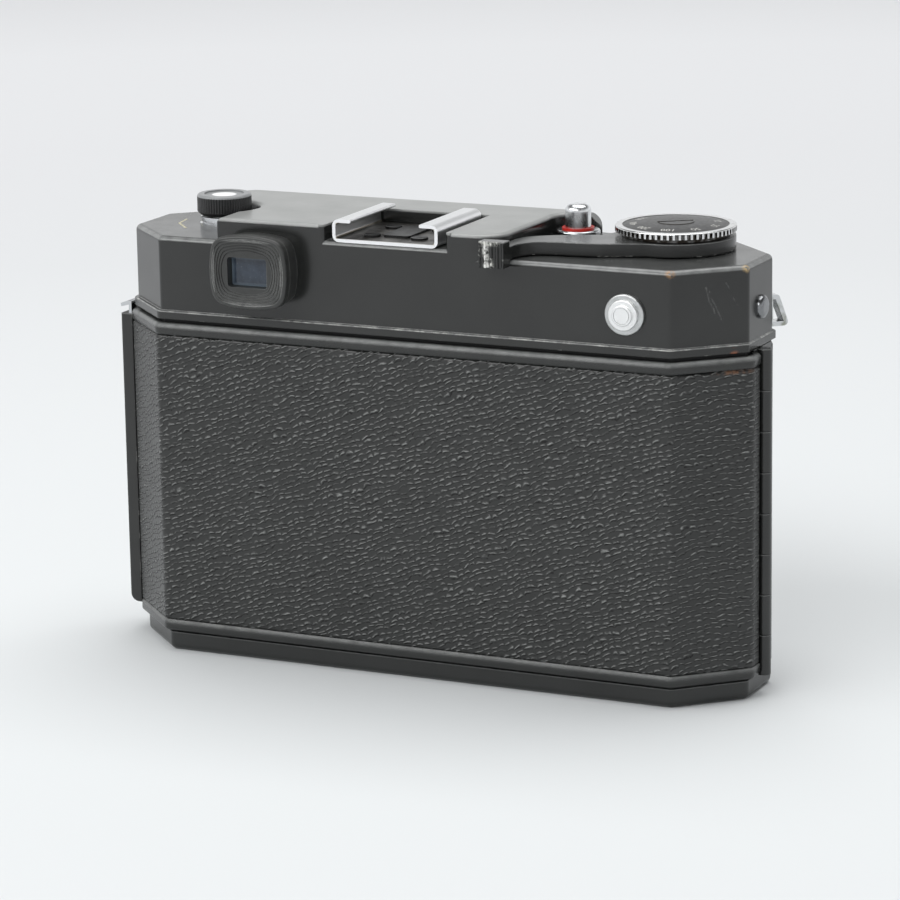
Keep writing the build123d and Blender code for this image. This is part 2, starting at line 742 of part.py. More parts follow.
# four low screws that hold the shoe
with BuildPart() as shoe_screws:
    with Locations(*[(x, y, shoe_floor) for x, y in shoe_screw_spots]):
        Cylinder(shoe_screw_radius, shoe_screw_head, align=upright)
    with Locations(*[(x, y, shoe_floor + shoe_screw_head) for x, y in shoe_screw_spots]):
        Box(2 * shoe_screw_radius, 0.4, shoe_screw_head, mode=Mode.SUBTRACT)
    with Locations(*[(x, y, shoe_floor) for x, y in shoe_screw_spots]):
        Cylinder(shoe_screw_shank, shoe_sheet, align=(Align.CENTER, Align.CENTER, Align.MAX))
shoe_screws.part.label = "shoe_screws"
export_step(shoe_screws.part, "parts/shoe_screws.step")

# spring plate between the screws, that presses a foot up against the lips
with BuildPart() as shoe_spring:
    with Locations((shoe_center, shoe_back - shoe_length / 2 - 0.2, shoe_floor)):
        Box(shoe_spring_width, shoe_spring_length, 0.4, align=upright)
    fillet(shoe_spring.edges().filter_by(Axis.Z), 0.8)
shoe_spring.part.label = "shoe_spring"
export_step(shoe_spring.part, "parts/shoe_spring.step")


def pillow(width, height, mode=Mode.ADD):
    """Rounded square with bulging sides, in the current sketch."""
    half_w, half_h = width / 2 - 0.95, height / 2 - 0.85
    corners = [(half_w, half_h), (-half_w, half_h), (-half_w, -half_h), (half_w, -half_h)]
    middles = [(0, height / 2), (-width / 2, 0), (0, -height / 2), (width / 2, 0)]
    with BuildSketch(mode=Mode.PRIVATE) as shape:
        with BuildLine() as edge:
            for k in range(4):
                ThreePointArc(corners[k], middles[k], corners[(k + 1) % 4])
        make_face()
        fillet(shape.vertices(), 0.22 * height)
    add(shape.sketch, mode=mode)


# eyepiece: flanged rounded square with fine rings round its window
with BuildPart() as eyepiece_ring:
    with BuildSketch(rear_plane(eyepiece_x, body_half_depth, eyepiece_level)):
        pillow(eyepiece_width - 0.5, eyepiece_height - 0.5)
    extrude(amount=eyepiece_reach - eyepiece_flange)
    with BuildSketch(rear_plane(eyepiece_x, body_half_depth + eyepiece_reach, eyepiece_level)):
        pillow(eyepiece_width, eyepiece_height)
    extrude(amount=-eyepiece_flange)
    fillet(eyepiece_ring.faces().sort_by(Axis.Y)[-1].edges(), 0.5)
    for k in range(groove_count):
        shrink = 1.3 + 2 * groove_pitch * k
        inner_shrink = shrink + 2 * groove_width
        with BuildSketch(rear_plane(eyepiece_x, body_half_depth + eyepiece_reach, eyepiece_level)):
            pillow(eyepiece_width - shrink, eyepiece_height - shrink)
            pillow(eyepiece_width - inner_shrink, eyepiece_height - inner_shrink, mode=Mode.SUBTRACT)
        extrude(amount=-groove_depth, mode=Mode.SUBTRACT)
    # tube through the wall of the cover, then the stepped window
    with BuildSketch(rear_plane(eyepiece_x, body_half_depth, eyepiece_level)):
        RectangleRounded(eyepiece_window_width + 1.2, eyepiece_window_height + 1.2, 0.9)
    extrude(amount=-cover_wall - 1.0)
    with BuildSketch(rear_plane(eyepiece_x, body_half_depth + eyepiece_reach + 1, eyepiece_level)):
        RectangleRounded(eyepiece_window_width - 1.0, eyepiece_window_height - 1.0, 0.5)
    extrude(amount=-2 * body_half_depth, mode=Mode.SUBTRACT)
    with BuildSketch(rear_plane(eyepiece_x, body_half_depth + eyepiece_reach, eyepiece_level)):
        RectangleRounded(eyepiece_window_width, eyepiece_window_height, 0.5)
    extrude(amount=-eyepiece_glass_depth - 0.8, mode=Mode.SUBTRACT)
eyepiece_ring.part.label = "eyepiece_ring"
export_step(eyepiece_ring.part, "parts/eyepiece_ring.step")

with BuildPart() as eyepiece_glass:
    with BuildSketch(
        rear_plane(eyepiece_x, body_half_depth + eyepiece_reach - eyepiece_glass_depth, eyepiece_level)
    ):
        RectangleRounded(eyepiece_window_width - 0.1, eyepiece_window_height - 0.1, 0.45)
    extrude(amount=-0.8)
eyepiece_glass.part.label = "eyepiece_glass"
export_step(eyepiece_glass.part, "parts/eyepiece_glass.step")

# three windows in the front of the cover, each with a flange behind the wall
for window_name, (window_x, window_width, window_height) in front_windows.items():
    with BuildPart() as window:
        with BuildSketch(facing_plane(window_x, -body_half_depth + cover_wall, window_level)):
            RectangleRounded(
                window_width - 2 * snug_gap, window_height - 2 * snug_gap, window_corner_radius - snug_gap
            )
        extrude(amount=cover_wall - 0.3)
        with BuildSketch(facing_plane(window_x, -body_half_depth + cover_wall, window_level)):
            RectangleRounded(
                window_width + 2 * window_flange, window_height + 2 * window_flange, window_corner_radius
            )
        extrude(amount=-0.8)
    window.part.label = window_name
    export_step(window.part, f"parts/{window_name}.step")

# finder block: the cemented prism and its carrier plate behind the windows
# its end stands clear of the wall round the knob's bay
block_end = rewind_axis[0] - knob_bay_radius - cover_wall - 2 * running_gap
with BuildPart() as finder_block:
    with Locations((block_end, -0.5, window_level)):
        Box(11.0, 24.0, 9.0, align=(Align.MAX, Align.CENTER, Align.CENTER))
    with Locations((well_center, -6.5, window_level)):
        Box(30.0, 9.0, 6.0)
    with Locations((well_center + 3, -2.5, skirt_bottom)):
        Box(38.0, 21.0, 1.2, align=upright)
    with Locations((eyepiece_x - 3, -0.5, skirt_bottom)):
        Box(3.0, 12.0, 5.2, align=upright)
    with Locations((well_center - 10, -6.5, skirt_bottom)):
        Box(3.0, 6.0, 6.4, align=upright)
finder_block.part.label = "finder_block"
export_step(finder_block.part, "parts/finder_block.step")

# flash terminal: flanged tube through the back wall of the cover
with BuildPart() as flash_terminal:
    with BuildSketch(rear_plane(terminal_x, body_half_depth, terminal_level)):
        ring(terminal_radius, terminal_bore)
    extrude(amount=terminal_flange)
    fillet(flash_terminal.edges().group_by(Axis.Y)[-1].sort_by(SortBy.LENGTH)[-1], 0.35)
    with BuildSketch(rear_plane(terminal_x, body_half_depth, terminal_level)):
        ring(terminal_radius - 0.9, terminal_bore)
    extrude(amount=-5.0)
    with BuildSketch(rear_plane(terminal_x, body_half_depth - 5.0, terminal_level)):
        Circle(terminal_radius - 0.9)
    extrude(amount=-0.8)
flash_terminal.part.label = "flash_terminal"
export_step(flash_terminal.part, "parts/flash_terminal.step")

# cap plugged into the flash terminal
cap_seat = body_half_depth + terminal_flange + snug_gap
with BuildPart() as flash_cap:
    with BuildSketch(rear_plane(terminal_x, cap_seat, terminal_level)):
        Circle(cap_radius)
    extrude(amount=0.6)
    fillet(flash_cap.edges().group_by(Axis.Y)[-1], 0.25)
    with BuildSketch(rear_plane(terminal_x, cap_seat + 0.6, terminal_level)):
        Circle(cap_boss_radius)
    extrude(amount=0.4)
    fillet(flash_cap.edges().group_by(Axis.Y)[-1], 0.2)
    with BuildSketch(rear_plane(terminal_x, cap_seat + 1.0, terminal_level)):
        ring(cap_groove_radius + 0.15, cap_groove_radius)
    extrude(amount=-0.25, mode=Mode.SUBTRACT)
    with BuildSketch(rear_plane(terminal_x, cap_seat, terminal_level)):
        Circle(terminal_bore - 0.03)
    extrude(amount=-2.5)
flash_cap.part.label = "flash_cap"
export_step(flash_cap.part, "parts/flash_cap.step")

def end_plane(side, x):
    """Plane facing outward at one end of the cover, at the level of the side screws."""
    return Plane(origin=(side * x, 0, side_screw_level), x_dir=(0, side, 0), z_dir=(side, 0, 0))


# screws with domed heads at the two ends of the cover
with BuildPart() as side_screws:
    for side in (-1, 1):
        with BuildSketch(end_plane(side, body_half_width)):
            Circle(side_screw_radius)
        extrude(amount=side_screw_head)
        fillet(side_screws.edges().group_by(Axis.X)[-1 if side > 0 else 0], side_screw_head - 0.1)
        with BuildSketch(end_plane(side, body_half_width - side_screw_length)):
            Circle(side_screw_shank)
        extrude(amount=side_screw_length)
side_screws.part.label = "side_screws"
export_step(side_screws.part, "parts/side_screws.step")

# strap lugs: loops of bent strip on the front chamfers of the cover
along_x = (flat_half_width - body_half_width) / hypot(
    body_half_width - flat_half_width, body_half_depth - side_half_depth
)
along_y = -sqrt(1 - along_x**2)
for side, lug_name in ((-1, "right_strap_lug"), (1, "left_strap_lug")):
    tangent = Vector(side * along_x, along_y, 0)
    normal = Vector(-side * along_y, along_x, 0)
    foot = Vector(side * body_half_width, -side_half_depth, 0) + tangent * (lug_from_corner - lug_width / 2)
    lug_plane = Plane(origin=foot, x_dir=normal, z_dir=normal.cross(Vector(0, 0, 1)))
    away = 1 if lug_plane.z_dir.dot(tangent) > 0 else -1
    with BuildPart() as lug:
        with BuildSketch(lug_plane):
            Polygon(
                (0, lug_bottom), (lug_reach_bottom, lug_bottom),
                (lug_reach_top, lug_top), (0, lug_top), align=None,
            )
            fillet(vertices().sort_by(Axis.X)[-2:], 0.9 * lug_sheet)
            Polygon(
                (lug_sheet, lug_bottom + lug_sheet),
                (lug_reach_bottom - 1.35 * lug_sheet, lug_bottom + lug_sheet),
                (lug_reach_top - 0.75 * lug_sheet, lug_top - lug_sheet),
                (lug_sheet, lug_top - lug_sheet), align=None, mode=Mode.SUBTRACT,
            )
        extrude(amount=away * lug_width)
    lug.part.label = lug_name
    export_step(lug.part, f"parts/{lug_name}.step")

# ================================================================ piano hinge
knuckle_pitch = (hinge_top - hinge_bottom) / knuckle_count
knuckle_levels = [hinge_bottom + k * knuckle_pitch for k in range(knuckle_count)]
leaf_outer = -(body_half_width + 0.15)


def knuckles(levels):
    """Tubes of the hinge barrel standing on the given levels, in the current part."""
    for level in levels:
        with BuildSketch(Plane.XY.offset(level + knuckle_gap / 2)) as tube:
            with Locations(hinge_axis):
                ring(barrel_radius, hinge_pin_radius + running_gap)
        extrude(tube.sketch, amount=knuckle_pitch - knuckle_gap)


def leaf_tabs(levels, y_from, y_to, x_outer):
    """Plates that join each knuckle to its leaf, clear of the pin."""
    for level in levels:
        with BuildSketch(Plane.XY.offset(level + knuckle_gap / 2)) as tab:
            with Locations((x_outer, min(y_from, y_to))):
                Rectangle(leaf_thickness, abs(y_to - y_from), align=(Align.MIN, Align.MIN))
            with Locations(hinge_axis):
                Circle(hinge_pin_radius + running_gap, mode=Mode.SUBTRACT)
        extrude(tab.sketch, amount=knuckle_pitch - knuckle_gap)


with BuildPart() as body_hinge_leaf:
    knuckles(knuckle_levels[0::2])
    leaf_tabs(knuckle_levels[0::2], -3.0, hinge_axis[1], leaf_outer)
    with Locations((leaf_outer, -side_half_depth + 0.9, hinge_bottom + knuckle_gap / 2)):
        Box(
            leaf_thickness, side_half_depth - 0.9 + hinge_axis[1] - barrel_radius - 0.2,
            hinge_top - hinge_bottom - knuckle_gap, align=(Align.MIN, Align.MIN, Align.MIN),
        )
body_hinge_leaf.part.label = "body_hinge_leaf"
export_step(body_hinge_leaf.part, "parts/body_hinge_leaf.step")

with BuildPart() as door_hinge_leaf:
    knuckles(knuckle_levels[1::2])
    leaf_tabs(knuckle_levels[1::2], hinge_axis[1], hinge_axis[1] + 2.0, leaf_outer)
    with Locations((leaf_outer, hinge_axis[1] + barrel_radius + 0.2, hinge_bottom + 0.6)):
        Box(
            leaf_thickness, side_half_depth - 0.6 - hinge_axis[1] - barrel_radius,
            hinge_top - hinge_bottom - 1.2, align=(Align.MIN, Align.MIN, Align.MIN),
        )
door_hinge_leaf.part.label = "door_hinge_leaf"
export_step(door_hinge_leaf.part, "parts/door_hinge_leaf.step")

with BuildPart() as hinge_pin:
    with Locations((hinge_axis[0], hinge_axis[1], hinge_bottom + knuckle_gap / 2)):
        Cylinder(hinge_pin_radius, hinge_top - hinge_bottom - knuckle_gap, align=upright)
hinge_pin.part.label = "hinge_pin"
export_step(hinge_pin.part, "parts/hinge_pin.step")

# ================================================================ back door
with BuildPart() as door_shell:
    with BuildSketch(Plane.XY.offset(door_bottom)):
        Polygon(*outline(door_rim_reach), align=None)
        fillet(vertices(), door_corner_radius)
    extrude(amount=door_top - door_bottom)
    fillet(door_shell.faces().sort_by(Axis.Z)[-1].edges(), door_edge_radius)
    fillet(door_shell.faces().sort_by(Axis.Z)[0].edges(), 0.5 * door_edge_radius)
    # seat of the leather between the two rims
    with BuildSketch(Plane.XY.offset(door_bottom + door_lower_rim)):
        Polygon(*outline(3 * door_rim_reach), align=None)
        Polygon(*outline(leather_seat_reach), align=None, mode=Mode.SUBTRACT)
    extrude(amount=door_top - door_bottom - door_lower_rim - door_upper_rim, mode=Mode.SUBTRACT)
    for level in (door_bottom + door_lower_rim, door_top - door_upper_rim):
        ledge = door_shell.faces().filter_by_position(Axis.Z, level - 0.01, level + 0.01)[0]
        fillet(ledge.outer_wire().edges(), door_bead_radius)
    # hollow inside, and open to the front
    with BuildSketch(Plane.XY.offset(door_bottom - 1)):
        Polygon(*outline(-door_inner_inset), align=None)
    extrude(amount=2 * door_top, mode=Mode.SUBTRACT)
    for end, toward in ((door_left_end, Align.MIN), (door_right_end, Align.MAX)):
        with Locations((0, end, 0)):
            Box(
                4 * body_half_width, 4 * body_half_depth, 3 * door_top,
                align=(toward, Align.MAX, Align.CENTER), mode=Mode.SUBTRACT,
            )
    # rebate for the leaf of the hinge
    with Locations((leaf_outer - snug_gap, 0, 0)):
        Box(
            2 * (body_half_width + leaf_outer) + 2.3, 2 * side_half_depth, 3 * door_top,
            align=(Align.MIN, Align.CENTER, Align.CENTER), mode=Mode.SUBTRACT,
        )
door_shell.part.label = "door_shell"
export_step(door_shell.part, "parts/door_shell.step")

with BuildPart() as door_leather:
    with BuildSketch(Plane.XY.offset(door_bottom + door_lower_rim + snug_gap)):
        Polygon(*outline(leather_reach), align=None)
        fillet(vertices(), door_corner_radius)
        Polygon(*outline(leather_seat_reach), align=None, mode=Mode.SUBTRACT)
        for end, toward in ((door_left_end, Align.MIN), (door_right_end, Align.MAX)):
            with Locations((0, end)):
                Rectangle(
                    4 * body_half_width, 4 * body_half_depth, align=(toward, Align.MAX), mode=Mode.SUBTRACT
                )
    extrude(amount=door_top - door_bottom - door_lower_rim - door_upper_rim - 2 * snug_gap)
door_leather.part.label = "door_leather"
export_step(door_leather.part, "parts/door_leather.step")

# catches of the door: two plates that reach into the slots of the casting
with BuildPart() as door_catches:
    for level in catch_levels:
        with BuildSketch(Plane.XY.offset(level - catch_height / 2)) as plate:
            Polygon(
                (catch_inner, catch_front), (catch_outer, catch_front),
                (catch_outer, chamfer_y(catch_outer, -door_inner_inset)),
                (catch_inner, chamfer_y(catch_inner, -door_inner_inset)), align=None,
            )
        extrude(plate.sketch, amount=catch_height)
        with Locations((catch_inner, catch_front, level - catch_height / 2)):
            Box(
                catch_outer - catch_inner, catch_nose, catch_height + catch_nose,
                align=(Align.MIN, Align.MIN, Align.MIN),
            )
door_catches.part.label = "door_catches"
export_step(door_catches.part, "parts/door_catches.step")

# pressure plate, and the two leaf springs behind it
plate_front = film_plane + 0.25
door_inside = body_half_depth - door_inner_inset
with BuildPart() as pressure_plate:
    with BuildSketch(rear_plane(0, plate_front, film_axis_level)):
        RectangleRounded(pressure_plate_width, pressure_plate_height, 1.5)
    extrude(amount=pressure_plate_sheet)
pressure_plate.part.label = "pressure_plate"
export_step(pressure_plate.part, "parts/pressure_plate.step")

with BuildPart() as pressure_springs:
    half = spring_length / 2
    outer_end, inner_end = door_inside - 0.02, door_inside - 0.02 - spring_sheet
    inner_middle = plate_front + pressure_plate_sheet + 0.02
    for dz in (-spring_offset, spring_offset):
        with BuildSketch(Plane.XY.offset(film_axis_level + dz - spring_width / 2)) as leaf:
            with BuildLine() as bow:
                ThreePointArc((-half, outer_end), (0, inner_middle + spring_sheet), (half, outer_end))
                ThreePointArc((half, inner_end), (0, inner_middle), (-half, inner_end))
                Line((-half, inner_end), (-half, outer_end))
                Line((half, outer_end), (half, inner_end))
            make_face(bow.edges())
        extrude(leaf.sketch, amount=spring_width)
pressure_springs.part.label = "pressure_springs"
export_step(pressure_springs.part, "parts/pressure_springs.step")

# ================================================================ door latch
with BuildPart() as latch_guide:
    with Locations((casting_half_width, bar_front - 1.0, door_bottom + 0.3)):
        Box(
            bar_inner - free_gap - casting_half_width, door_left_end - 0.4 - bar_front + 1.0,
            skirt_bottom - door_bottom - 0.5, align=(Align.MIN, Align.MIN, Align.MIN),
        )
    with Locations(*[(casting_half_width, 1.0, level - catch_slot_below) for level in catch_levels]):
        Box(
            10, 2 * door_left_end, catch_slot_height,
            align=(Align.CENTER, Align.MIN, Align.MIN), mode=Mode.SUBTRACT,
        )
latch_guide.part.label = "latch_guide"
export_step(latch_guide.part, "parts/latch_guide.step")

with BuildPart() as latch_bar:
    with Locations((bar_inner, bar_front, bar_bottom)):
        Box(
            bar_outer - bar_inner, bar_back - bar_front, bar_top - bar_bottom,
            align=(Align.MIN, Align.MIN, Align.MIN),
        )
    fillet(latch_bar.faces().sort_by(Axis.X)[-1].edges().group_by(Axis.Z)[0], 1.6)
    fillet(latch_bar.faces().sort_by(Axis.X)[-1].edges().filter_by(Axis.Z), 0.5)
latch_bar.part.label = "latch_bar"
export_step(latch_bar.part, "parts/latch_bar.step")

# hooks of the latch: legs through the guide, with a nose above each catch of the door
with BuildPart() as latch_hooks:
    for level in catch_levels:
        with Locations((bar_inner, hook_front, level + catch_height / 2 + catch_nose + snug_gap)):
            Box(
                bar_inner - catch_inner, hook_width, hook_height, align=(Align.MAX, Align.MIN, Align.MIN)
            )
latch_hooks.part.label = "latch_hooks"
export_step(latch_hooks.part, "parts/latch_hooks.step")

# bright thumb catch at the top of the bar
with BuildPart() as latch_catch:
    with BuildSketch(Plane(origin=(0, bar_back - 0.2, 0), x_dir=(1, 0, 0), z_dir=(0, -1, 0))):
        Polygon(
            (bar_inner + 0.2, bar_top), (bar_inner + 0.75, bar_top), (bar_inner + 0.75, bar_top + 1.6),
            (bar_outer - 0.1, bar_top + 1.2), (bar_outer, bar_top + 1.8), (bar_inner + 0.9, bar_top + 2.35),
            (bar_inner + 0.2, bar_top + 2.2), align=None,
        )
    extrude(amount=3.4)
latch_catch.part.label = "latch_catch"
export_step(latch_catch.part, "parts/latch_catch.step")

# ================================================================ film transport
with BuildPart() as wind_lever:
    hx, hy = lever_axis
    with BuildSketch(Plane.XY.offset(lever_bottom)):
        with Locations(lever_axis):
            Circle(hub_radius)
        with BuildLine() as arm:
            Line((hx + 1, hy + hub_radius - 0.2), (-33.0, 8.6))
            Spline(
                (-33.0, 8.6), (-27.0, 9.4), (-21.5, 10.8), (grip_right, 14.5), tangents=((4, 0.7), (0.2, 1))
            )
            Line((grip_right, 14.5), (grip_right, grip_outer))
            Line((grip_right, grip_outer), (grip_left, grip_outer))
            Line((grip_left, grip_outer), (grip_left, grip_inner - 0.2))
            Line((grip_left, grip_inner - 0.2), (grip_left - 2.4, grip_inner - 1.4))
            Line((grip_left - 2.4, grip_inner - 1.4), (grip_left - 2.7, 9.5))
            Spline(
                (grip_left - 2.7, 9.5), (-18.8, 6.2), (-23.0, 3.2), (-30.0, 0.4),
                tangents=((-0.1, -1), (-1, -0.3)),
            )
            Line((-30.0, 0.4), (hx + hub_radius - 1.4, hy - 3.2))
            Line((hx + hub_radius - 1.4, hy - 3.2), (hx + 1, hy + hub_radius - 0.2))
        make_face(arm.edges())
    extrude(amount=lever_top - lever_bottom)
    # grip block that hangs over the back of the cover
    grip_middle = (grip_left + grip_right) / 2
    with Locations((grip_middle, grip_inner, grip_bottom)):
        Box(
            grip_left - grip_right, grip_outer - grip_inner, grip_top - grip_bottom,
            align=(Align.CENTER, Align.MIN, Align.MIN),
        )
    with Locations(*[
        (grip_middle + (k - (scallop_count - 1) / 2) * scallop_pitch, grip_outer, grip_bottom)
        for k in range(scallop_count)
    ]):
        Cylinder(scallop_radius, 3 * grip_top, mode=Mode.SUBTRACT)
    with Locations((hx, hy, lever_bottom)):
        Cylinder(wind_shaft_radius, 8, mode=Mode.SUBTRACT)
wind_lever.part.label = "wind_lever"
export_step(wind_lever.part, "parts/wind_lever.step")

with BuildPart() as wind_shaft:
    with Locations((*lever_axis, skirt_bottom - 2.9)):
        Cylinder(wind_shaft_radius, dial_rim_top - 0.4 - skirt_bottom + 2.9, align=upright)
wind_shaft.part.label = "wind_shaft"
export_step(wind_shaft.part, "parts/wind_shaft.step")


def gear_blank(teeth, phase, axis, level, bore):
    """Spur gear standing on a level, in the current part."""
    with BuildSketch(Plane.XY.offset(level)) as profile:
        with Locations(axis):
            Polygon(*gear_points(teeth, phase), align=None)
            Circle(bore, mode=Mode.SUBTRACT)
    extrude(profile.sketch, amount=gear_thickness)


# the two gears on the shaft of the lever: pinion below, wheel above, joined by a hub
with BuildPart() as lever_gears:
    gear_blank(lever_pinion_teeth, 0, lever_axis, pinion_level, wind_shaft_radius)
    gear_blank(lever_wheel_teeth, 0, lever_axis, wheel_level, wind_shaft_radius)
    with BuildSketch(Plane.XY.offset(pinion_level)):
        with Locations(lever_axis):
            ring(wind_shaft_radius + 1.2, wind_shaft_radius)
    extrude(amount=wheel_level - pinion_level + 2)
lever_gears.part.label = "lever_gears"
export_step(lever_gears.part, "parts/lever_gears.step")

with BuildPart() as idler_gear:
    gear_blank(idler_teeth, idler_phase, idler_axis, wheel_level, gear_core_radius)
    with Locations((*idler_axis, skirt_bottom - 2.0)):
        Cylinder(spool_shaft_radius, wheel_level - skirt_bottom + 2.0, align=upright)
    with Locations((*idler_axis, skirt_bottom - 2.0)):
        Cylinder(gear_core_radius, wheel_level - skirt_bottom + 2.0 + gear_thickness, align=upright)
idler_gear.part.label = "idler_gear"
export_step(idler_gear.part, "parts/idler_gear.step")

# take-up spool: slotted core between two flanges, on its shaft
spool_bottom = chamber_floor + 0.4
spool_height = chamber_ceiling - chamber_floor - 0.8
with BuildPart() as take_up_spool:
    with Locations((*spool_axis, spool_bottom)):
        Cylinder(spool_radius, spool_height, align=upright)
        Cylinder(spool_flange_radius, 1.2, align=upright)
    with Locations((*spool_axis, spool_bottom + spool_height - 1.2)):
        Cylinder(spool_flange_radius, 1.2, align=upright)
    with Locations((*spool_axis, chamber_floor - 2.3)):
        Cylinder(spool_shaft_radius, pinion_level - chamber_floor + 2.3, align=upright)
    for turn in (0, 120, 240):
        with Locations(Location((*spool_axis, film_axis_level), (0, 0, turn))):
            with Locations((spool_radius, 0, 0)):
                Box(3.0, 1.0, 20.0, mode=Mode.SUBTRACT)
take_up_spool.part.label = "take_up_spool"
export_step(take_up_spool.part, "parts/take_up_spool.step")

with BuildPart() as spool_gear:
    gear_blank(spool_gear_teeth, spool_phase, spool_axis, pinion_level, gear_core_radius)
    with Locations((*spool_axis, pinion_level)):
        Cylinder(gear_core_radius, gear_thickness, align=upright)
spool_gear.part.label = "spool_gear"
export_step(spool_gear.part, "parts/spool_gear.step")

# film sprocket: two toothed wheels on a core
with BuildPart() as film_sprocket:
    with Locations((*sprocket_axis, chamber_floor + 0.4)):
        Cylinder(sprocket_core_radius, chamber_ceiling - chamber_floor - 0.8, align=upright)
    with Locations((*sprocket_axis, chamber_floor - 2.3)):
        Cylinder(sprocket_shaft_radius, wheel_level - chamber_floor + 2.3, align=upright)
    for level in (film_axis_level - 14.1, film_axis_level + 14.1):
        with Locations((*sprocket_axis, level)):
            Cylinder(sprocket_wheel_radius, 6.0)
        for k in range(sprocket_teeth):
            turn = 360 * (k + 0.5) / sprocket_teeth
            with Locations(Location((*sprocket_axis, level), (0, 0, turn))):
                with Locations((sprocket_wheel_radius + sprocket_tooth_reach / 2 - 0.2, 0, 0)):
                    Box(sprocket_tooth_reach + 0.4, 1.2, 1.6)
film_sprocket.part.label = "film_sprocket"
export_step(film_sprocket.part, "parts/film_sprocket.step")

with BuildPart() as sprocket_gear:
    gear_blank(sprocket_gear_teeth, sprocket_phase, sprocket_axis, wheel_level, gear_core_radius)
    with Locations((*sprocket_axis, wheel_level)):
        Cylinder(gear_core_radius, gear_thickness, align=upright)
sprocket_gear.part.label = "sprocket_gear"
export_step(sprocket_gear.part, "parts/sprocket_gear.step")

# ================================================================ film dial on the lever
with BuildPart() as dial_ring:
    with BuildSketch(Plane.XY.offset(dial_bottom)):
        with Locations(lever_axis):
            Circle(dial_radius)
    extrude(amount=dial_rim_top - dial_bottom)
    fillet(dial_ring.faces().sort_by(Axis.Z)[-1].edges(), 0.25)
    with BuildSketch(Plane.XY.offset(dial_bottom - 0.1)):
        with Locations(lever_axis):
            with PolarLocations(dial_radius + dial_notch_radius - dial_notch_depth, dial_teeth):
                Circle(dial_notch_radius)
    extrude(amount=dial_rim_top - dial_bottom - 0.1, mode=Mode.SUBTRACT)
    with BuildSketch(Plane.XY.offset(lever_top + 0.1)):
        with Locations(lever_axis):
            Circle(dial_neck_radius)
    extrude(amount=dial_bottom - lever_top - 0.1)
    with BuildSketch(Plane.XY.offset(dial_rim_top - 0.7)):
        with Locations(lever_axis):
            Circle(dial_disc_radius + 0.05)
    extrude(amount=2, mode=Mode.SUBTRACT)
    with Locations((*lever_axis, dial_bottom)):
        Cylinder(wind_shaft_radius + running_gap, 8, mode=Mode.SUBTRACT)
dial_ring.part.label = "dial_ring"
export_step(dial_ring.part, "parts/dial_ring.step")

with BuildPart() as dial_disc:
    hole_radius = coin_screw_radius + 0.05
    with BuildSketch(Plane(origin=(*lever_axis, dial_rim_top - 0.7), x_dir=(1, 0, 0), z_dir=(0, -1, 0))):
        with BuildLine() as section:
            Line((hole_radius, 0), (dial_disc_radius, 0))
            Line((dial_disc_radius, 0), (dial_disc_radius, 0.6))
            ThreePointArc(
                (dial_disc_radius, 0.6), ((dial_disc_radius + hole_radius) / 2, 0.92), (hole_radius, 1.05)
            )
            Line((hole_radius, 1.05), (hole_radius, 0))
        make_face(section.edges())
    revolve(axis=Axis((*lever_axis, 0), (0, 0, 1)))
dial_disc.part.label = "dial_disc"
export_step(dial_disc.part, "parts/dial_disc.step")

# coin-slotted screw that holds the dial down on the shaft
with BuildPart() as dial_screw:
    with Locations((*lever_axis, dial_rim_top - 0.4)):
        Cylinder(coin_screw_radius, 0.85, align=upright)
    with Locations(Location((*lever_axis, dial_rim_top + 0.45), (0, 0, 35))):
        Box(2 * coin_screw_radius + 1, 0.7, 0.8, mode=Mode.SUBTRACT)
dial_screw.part.label = "dial_screw"
export_step(dial_screw.part, "parts/dial_screw.step")

# ================================================================ release button
with BuildPart() as release_collar:
    with BuildSketch(Plane.XY.offset(deck_level)):
        with Locations(button_axis):
            ring(collar_radius, button_radius + 0.1)
    extrude(amount=collar_top - deck_level)
    fillet(release_collar.edges().group_by(Axis.Z)[-1].sort_by(SortBy.LENGTH)[-1], 0.4)
    with BuildSketch(Plane.XY.offset(deck_level + 0.75)):
        with Locations(button_axis):
            ring(collar_radius + 1, collar_radius - 0.3)
    extrude(amount=0.3, mode=Mode.SUBTRACT)
release_collar.part.label = "release_collar"
export_step(release_collar.part, "parts/release_collar.step")

with BuildPart() as release_red_ring:
    with BuildSketch(Plane.XY.offset(collar_top)):
        with Locations(button_axis):
            ring(red_ring_radius, button_radius + 0.1)
    extrude(amount=red_ring_top - collar_top)
release_red_ring.part.label = "release_red_ring"
export_step(release_red_ring.part, "parts/release_red_ring.step")

with BuildPart() as release_button:
    with Locations((*button_axis, deck_level + 0.4)):
        Cylinder(button_radius, button_top - deck_level - 0.4, align=upright)
    fillet(release_button.edges().group_by(Axis.Z)[-1], button_edge_radius)
release_button.part.label = "release_button"
export_step(release_button.part, "parts/release_button.step")

with BuildPart() as release_rod:
    with Locations((*button_axis, skirt_bottom + 3.5)):
        Cylinder(1.1, deck_level + 0.4 - skirt_bottom - 3.5, align=upright)
    with Locations((*button_axis, deck_level - 4.0)):
        Cylinder(3.0, 0.8, align=upright)
release_rod.part.label = "release_rod"
export_step(release_rod.part, "parts/release_rod.step")

